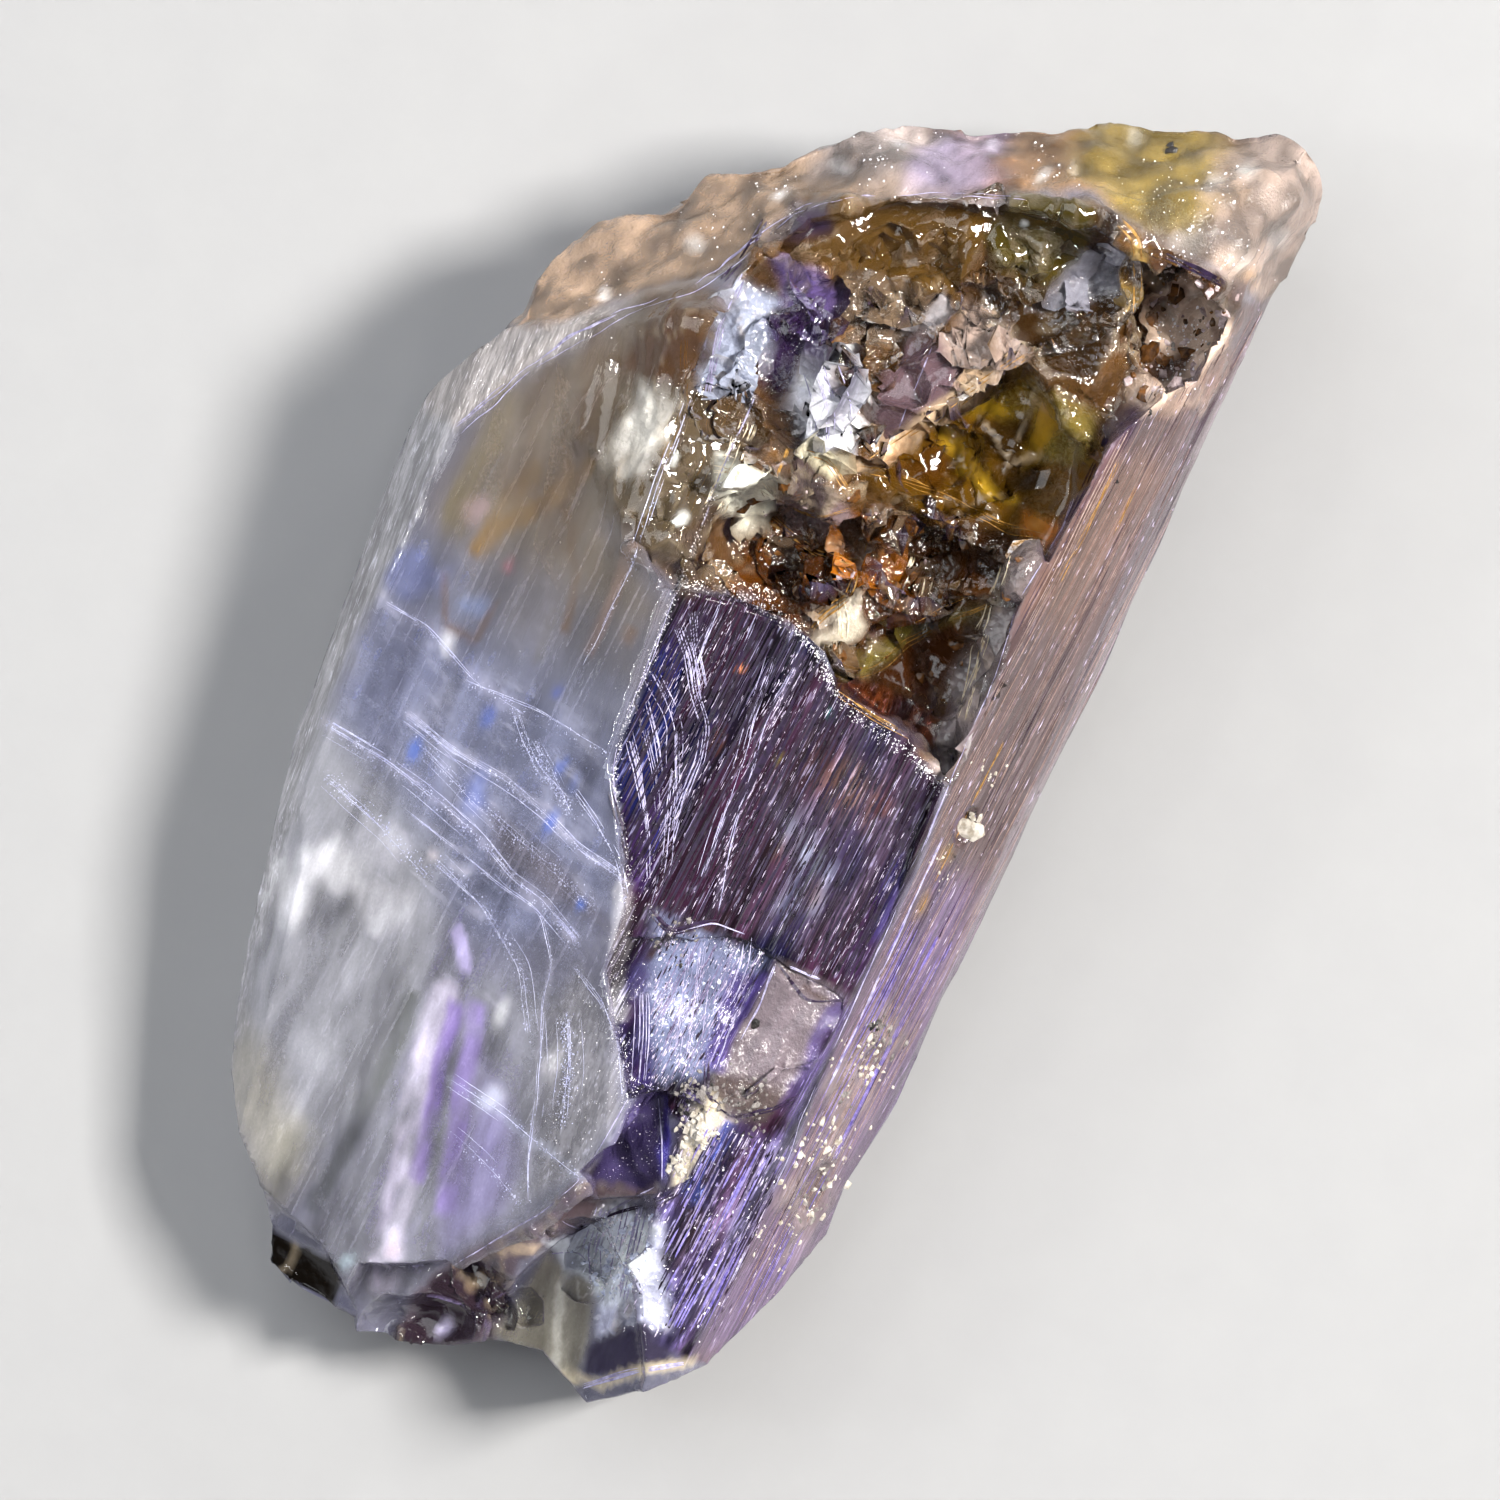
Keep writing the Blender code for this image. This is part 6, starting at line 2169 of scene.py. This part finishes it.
class SkinMinerals:
    """Lines, dashes, glints, chips and grains on the outside of the stone."""

    COLUMNS = way("3.35,-6.4 4.8,-6.1 5,-9.4 4.3,-9.7 3.8,-9 3.5,-7.8")
    FOOT = way("2.7,-6.3 4.8,-6.1 5,-9.6 4.2,-9.8 3.3,-9.7 2.6,-8.6 3.3,-7.6")
    SHINE = way("1.2,-3.9 3,-3.5 3.1,-5.6 2.3,-6.4")

    def build(self, ground: Ground) -> None:
        """Make the pieces.

        Args:
            ground: the stone's skin.
        """
        parts = (*self._lines(), *self._growth(), *self._dashes(), self._glints(), *self._chips())
        for part in (*parts, *self._grains()):
            part.build(ground)

    @staticmethod
    def _lines() -> tuple[Threads, ...]:
        """List the frosted edges, the scratches, the cracks and a dark thread of painted shade.

        Returns:
            The pieces to build.
        """
        frost = GrainFinish("line_frost", "b9b4d2", "746e90", 0.45)
        gold = GrainFinish("line_gold", "b08440", "5e4218", 0.3)
        cream = GrainFinish("line_cream", "efe4cc", "b09a78", 0.3)
        return (
            Threads("lines_frost", frost, FROST_LINES, 51),
            Threads("lines_gold", gold, GOLD_LINES, 52),
            Threads("lines_cream", cream, CREAM_LINES, 64),
            Threads("lines_dark", DARK_LINE, DARK_LINES, 53),
        )

    def _growth(self) -> tuple[GrowthLines, ...]:
        """List the growth lines.

        Returns:
            The pieces to build.
        """
        satin = GrainFinish("line_satin", "9a8eb0", "5c5070", 0.45)
        rose = GrainFinish("line_rose", "b39c94", "806a64", 0.5)
        violet = GrainFinish("line_violet", "a294d0", "6258aa", 0.3)
        side = way("4.7,-2 5.6,-2 5.7,-8 5,-9.4")
        return (
            GrowthLines("growth_pale", satin, (
                Growth(MIDDLE_FACE, 90, (0.2, 1.4), (0.008, 0.016)),
                Growth(self.COLUMNS, 80, (0.3, 2.0), (0.015, 0.045)),
                Growth(self.SHINE, 80, (0.3, 1.6), (0.01, 0.03)),
            ), 54),
            GrowthLines("growth_rose", rose, (Growth(PINK_FACE, 240, (0.5, 4.0), (0.008, 0.022)),), 61),
            GrowthLines("growth_dark", DARK_LINE, (
                Growth(MIDDLE_FACE, 300, (0.5, 3.2), (0.02, 0.06)),
                Growth(PINK_FACE, 80, (0.5, 3.0), (0.008, 0.02)),
                Growth(self.COLUMNS, 50, (0.3, 1.6), (0.02, 0.06)),
            ), 55),
            GrowthLines("growth_violet", violet, (
                Growth(self.COLUMNS, 50, (0.4, 1.8), (0.02, 0.06)),
                Growth(side, 60, (0.5, 3.0), (0.02, 0.05)),
            ), 56),
        )

    def _dashes(self) -> tuple[Specks, ...]:
        """List the short dark dashes of the striated faces and the pale dashes on them, which are painted
        glints.

        Returns:
            The pieces to build.
        """
        pale = GrainFinish("dash_pale", "d6cce0", "8a7c98", 0.35)
        dark = GrainFinish("dash_dark", "241626", "0b0614", 0.3)
        frosted = way("-0.7,0.9 0.1,0.9 0.9,-1.2 1.2,-3.4 0.8,-3.6 0,-2.7 -0.5,-1.8")
        inner_step = way("1.2,0.8 1.5,-0.6 1.6,-1.9 1.95,-3.2")
        return (
            # Painted glints: thousands of short pale dashes stand in for light caught along the growth lines.
            Specks("dashes_pale", pale, (
                Scatter(MIDDLE_FACE, 5000, (0.006, 0.018), long=20.0, patchy=1.0),
                Scatter(self.SHINE, 900, (0.008, 0.03), long=8.0),
                Scatter(frosted, 1800, (0.006, 0.018), long=12.0, patchy=1.0),
                Scatter(self.FOOT, 900, (0.01, 0.04), long=10.0, patchy=1.0),
                Scatter(PINK_FACE, 500, (0.008, 0.025), long=14.0),
                along(inner_step, 260, (0.008, 0.025), 0.09, 8.0),
            ), 62),
            Specks("dashes_dark", dark, (
                Scatter(MIDDLE_FACE, 2400, (0.012, 0.045), long=18.0),
                Scatter(self.SHINE, 500, (0.01, 0.035), long=12.0),
                Scatter(self.COLUMNS, 420, (0.02, 0.06), long=8.0, patchy=1.0),
                Scatter(PINK_FACE, 160, (0.008, 0.02), long=12.0),
            ), 63),
        )

    def _glints(self) -> Specks:
        """Describe the white glints of the worn rim, the ridges and the broken places.

        Returns:
            The piece to build.
        """
        white = GrainFinish("speck_white", "fbfafc", "cfc9d2", 0.3)
        ridge = way("0.5,-3.6 0.72,-4 0.85,-4.6 1.15,-5.2 1.6,-5.95 2.05,-6.6")
        crest = way("-0.95,1.05 -0.13,1.37 0.8,1.38 1.6,1.05 2.07,0.62 2.75,0.45 3.55,0.35 4.3,0.05")
        pit = way("-2.2,2.6 -0.6,1.6 3.8,1 3.9,4.2 4.2,6.8 4.6,8.8 1,9 -2,6.8")
        etched = way("3.1,-3.7 4.4,-3.7 4.4,-5.6 3.2,-5.6")
        sealed = way("-3.4,2 -0.9,1.4 -0.75,-1.6 -3.2,-1.4")
        return Specks("specks_white", white, (
            *WHITE_CLUMPS,
            Scatter(self.SHINE, 300, (0.008, 0.03)),
            Scatter(etched, 320, (0.008, 0.03), patchy=0.6),
            Scatter(self.FOOT, 300, (0.01, 0.05)),
            along(ridge, 600, (0.008, 0.022), 0.1),
            along(LEFT_RIDGE[:10], 900, (0.008, 0.03), 0.035),
            along(crest, 900, (0.008, 0.035), 0.06),
            Scatter(pit, 260, (0.01, 0.045), patchy=0.6),
            Scatter(way("0.45,-5.2 1.4,-5.8 2,-6.8 1.9,-8 1.2,-8.2"), 200, (0.008, 0.03)),
            Scatter(sealed, 60, (0.01, 0.05), (-0.02, -0.4)),
            Scatter(way("2.3,-8.5 3.3,-8.1 3.6,-9.3 2.9,-9.7"), 500, (0.01, 0.06)),
            Scatter(way("2.15,-6.7 2.6,-6.4 3.1,-7.5 2.2,-8"), 160, (0.008, 0.025)),
        ), 57)

    def _chips(self) -> tuple[Specks, ...]:
        """List the glassy chips of the pit and of the foot.

        Returns:
            The pieces to build.
        """
        brown = GrainFinish("chip_brown", "6a4420", "1c0f06", 0.12)
        grey = GrainFinish("chip_grey", "d0bebe", "7a6666", 0.12)
        blue = GrainFinish("chip_blue", "e8eefc", "8890b0", 0.12)
        hollow = way("3.6,9.3 4.9,9.3 5,8.2 4.6,7.2 4.1,6.9 3.9,7.8")
        band = way("-0.6,1.6 0.9,1.6 2.4,1 3.8,1.2 3.9,3.9 1.5,3.9 -0.6,3.2")
        foot = way("2.3,-9.4 2.6,-8.5 3.3,-8.1 3.7,-9 3.3,-9.8")
        return (
            Specks("chips_brown", brown, (
                Scatter(hollow, 80, (0.08, 0.34), (-0.08, 0.02)),
                Scatter(band, 90, (0.06, 0.3), (-0.1, 0.0)),
            ), 65, True),
            Specks("chips_grey", grey, (
                Scatter(hollow, 90, (0.06, 0.26), (-0.06, 0.02)),
                Scatter(band, 40, (0.05, 0.2), (-0.06, 0.0)),
            ), 66, True),
            Specks("chips_blue", blue, (
                Scatter(foot, 260, (0.04, 0.16), (-0.04, 0.01)),
                Scatter(self.SHINE, 90, (0.02, 0.08), (-0.02, 0.01)),
            ), 67, True),
        )

    @staticmethod
    def _grains() -> tuple[Specks, ...]:
        """List the crumbs of pale, grey and black matrix.

        Returns:
            The pieces to build.
        """
        pale = GrainFinish("matrix_pale", "d2ccc2", "8e8474", 0.45)
        grey = GrainFinish("matrix_grey", "908a86", "3a3432", 0.5)
        black = GrainFinish("matrix_black", "2a2624", "0c0b0c", 0.35)
        place = ((4.93, -0.31), (4.93, -0.29))
        large = Scatter(place, 2, (0.48, 0.56), (0.04, 0.04), (0.0, 0.0), 0.03)
        return (
            Specks("grains_pale", pale, (large, *PALE_CLUMPS), 41, True),
            Specks("grains_grey", grey, GREY_CLUMPS, 42, True),
            Specks("grains_black", black, BLACK_CLUMPS, 43, True),
        )


@dataclass(frozen=True)
class Lamp:
    """A square area light that faces the crystal, in metres and watts."""

    name: str
    place: tuple[float, float, float]
    size: float = 0.018
    power: float = 0.05
    colour: tuple[float, float, float] = (1.0, 1.0, 1.0)

    def build(self) -> None:
        """Add the light."""
        data = bpy.data.lights.new(self.name, "AREA")
        data.size, data.energy, data.color = self.size, self.power, self.colour
        light = bpy.data.objects.new(self.name, data)
        bpy.context.scene.collection.objects.link(light)
        where = Vector(self.place)
        light.matrix_world = Matrix.Translation(where) @ where.to_track_quat("Z", "Y").to_matrix().to_4x4()


@dataclass
class Studio:
    """Pale floor, soft light and the camera that looks straight down on the crystal."""

    distance: float = 0.4
    frame_width: float = 0.0243
    roll: float = 27.0
    aim: tuple[float, float] = (0.00128, -0.00077)
    lamps: tuple[Lamp, ...] = (
        Lamp("key", (0.13, 0.10, 0.20), 0.06, 1.5, (1.0, 0.97, 0.93)),
        Lamp("fill", (-0.16, 0.02, 0.25), 0.30, 0.8, (0.93, 0.96, 1.0)),
        Lamp("glint_0", (-0.11, 0.15, 0.19)),
        Lamp("glint_1", (0.03, -0.17, 0.20)),
        Lamp("glint_2", (-0.17, -0.07, 0.16)),
        Lamp("glint_3", (0.05, 0.20, 0.15)),
    )
    wall_heights: tuple[float, float] = (0.12, 0.62)
    wall_lights: tuple[float, float] = (0.85, 0.07)
    wall_colour: tuple[float, float, float] = (0.93, 0.95, 1.0)
    floor_size: float = 1.5
    floor_gap: float = 0.00002
    floor_tones: tuple[tuple[float, float, float], tuple[float, float, float]] = (
        (0.29, 0.29, 0.293), (0.31, 0.31, 0.31))

    def build(self) -> None:
        """Set up everything that isn't the crystal."""
        self._floor()
        for lamp in self.lamps:
            lamp.build()
        scene = bpy.context.scene
        scene.world = self._room()
        scene.view_settings.view_transform = "Standard"
        scene.cycles.max_bounces = 8
        scene.cycles.diffuse_bounces = 2
        scene.cycles.glossy_bounces = 3
        scene.cycles.transmission_bounces = 7
        scene.cycles.transparent_max_bounces = 6
        scene.cycles.caustics_reflective = False
        scene.cycles.sample_clamp_indirect = 4.0
        scene.cycles.adaptive_threshold = 0.2
        self._camera()

    def _room(self) -> bpy.types.World:
        """Make a room with pale walls and a dim ceiling, so that level faces don't mirror a white sky.

        Returns:
            The world.
        """
        world = bpy.data.worlds.new("pale_room")
        world.use_nodes = True
        nodes, links = world.node_tree.nodes, world.node_tree.links
        facing = nodes.new("ShaderNodeTexCoord")
        split = nodes.new("ShaderNodeSeparateXYZ")
        fade = nodes.new("ShaderNodeMapRange")
        fade.interpolation_type = "SMOOTHSTEP"
        for socket, value in zip(fade.inputs[1:5], self.wall_heights + self.wall_lights, strict=True):
            socket.default_value = value
        links.new(facing.outputs["Generated"], split.inputs[0])
        links.new(split.outputs["Z"], fade.inputs[0])
        links.new(fade.outputs[0], nodes["Background"].inputs["Strength"])
        nodes["Background"].inputs["Color"].default_value = (*self.wall_colour, 1.0)
        return world

    def _camera(self) -> None:
        """Place the camera."""
        data = bpy.data.cameras.new("camera")
        data.lens = data.sensor_width * self.distance / self.frame_width
        data.clip_start, data.clip_end = 0.01, 10.0
        camera = bpy.data.objects.new("camera", data)
        bpy.context.scene.collection.objects.link(camera)
        camera.matrix_world = Matrix.Translation((*self.aim, self.distance)) @ Matrix.Rotation(
            math.radians(self.roll), 4, "Z"
        )
        bpy.context.scene.camera = camera

    def _floor(self) -> None:
        """Add the pale floor just under the crystal."""
        shape = bmesh.new()
        bmesh.ops.create_grid(shape, x_segments=8, y_segments=8, size=self.floor_size)
        bmesh.ops.translate(shape, vec=(0, 0, -self.floor_gap), verts=shape.verts)
        mesh = bpy.data.meshes.new("floor")
        shape.to_mesh(mesh)
        shape.free()
        graph = Graph("floor_paper")
        grain = graph.noise(graph.place(), (0.8, 0.8, 0.8), 4.0)
        tone = graph.mix(grain, *self.floor_tones)
        paper = graph.node("ShaderNodeBsdfPrincipled", {}, Base_Color=tone, Roughness=0.9)
        mesh.materials.append(graph.finish(paper))
        floor = bpy.data.objects.new("floor", mesh)
        bpy.context.scene.collection.objects.link(floor)


def main() -> None:
    """Build the crystal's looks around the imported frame."""
    logging.basicConfig(level=logging.INFO, format="%(message)s")
    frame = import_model()
    stone = CrystalBody().build(frame["nodes"][NODE])
    ground = Ground(stone)
    Inside().build(ground)
    SkinMinerals().build(ground)
    Studio().build()


if __name__ == "__main__":
    main()
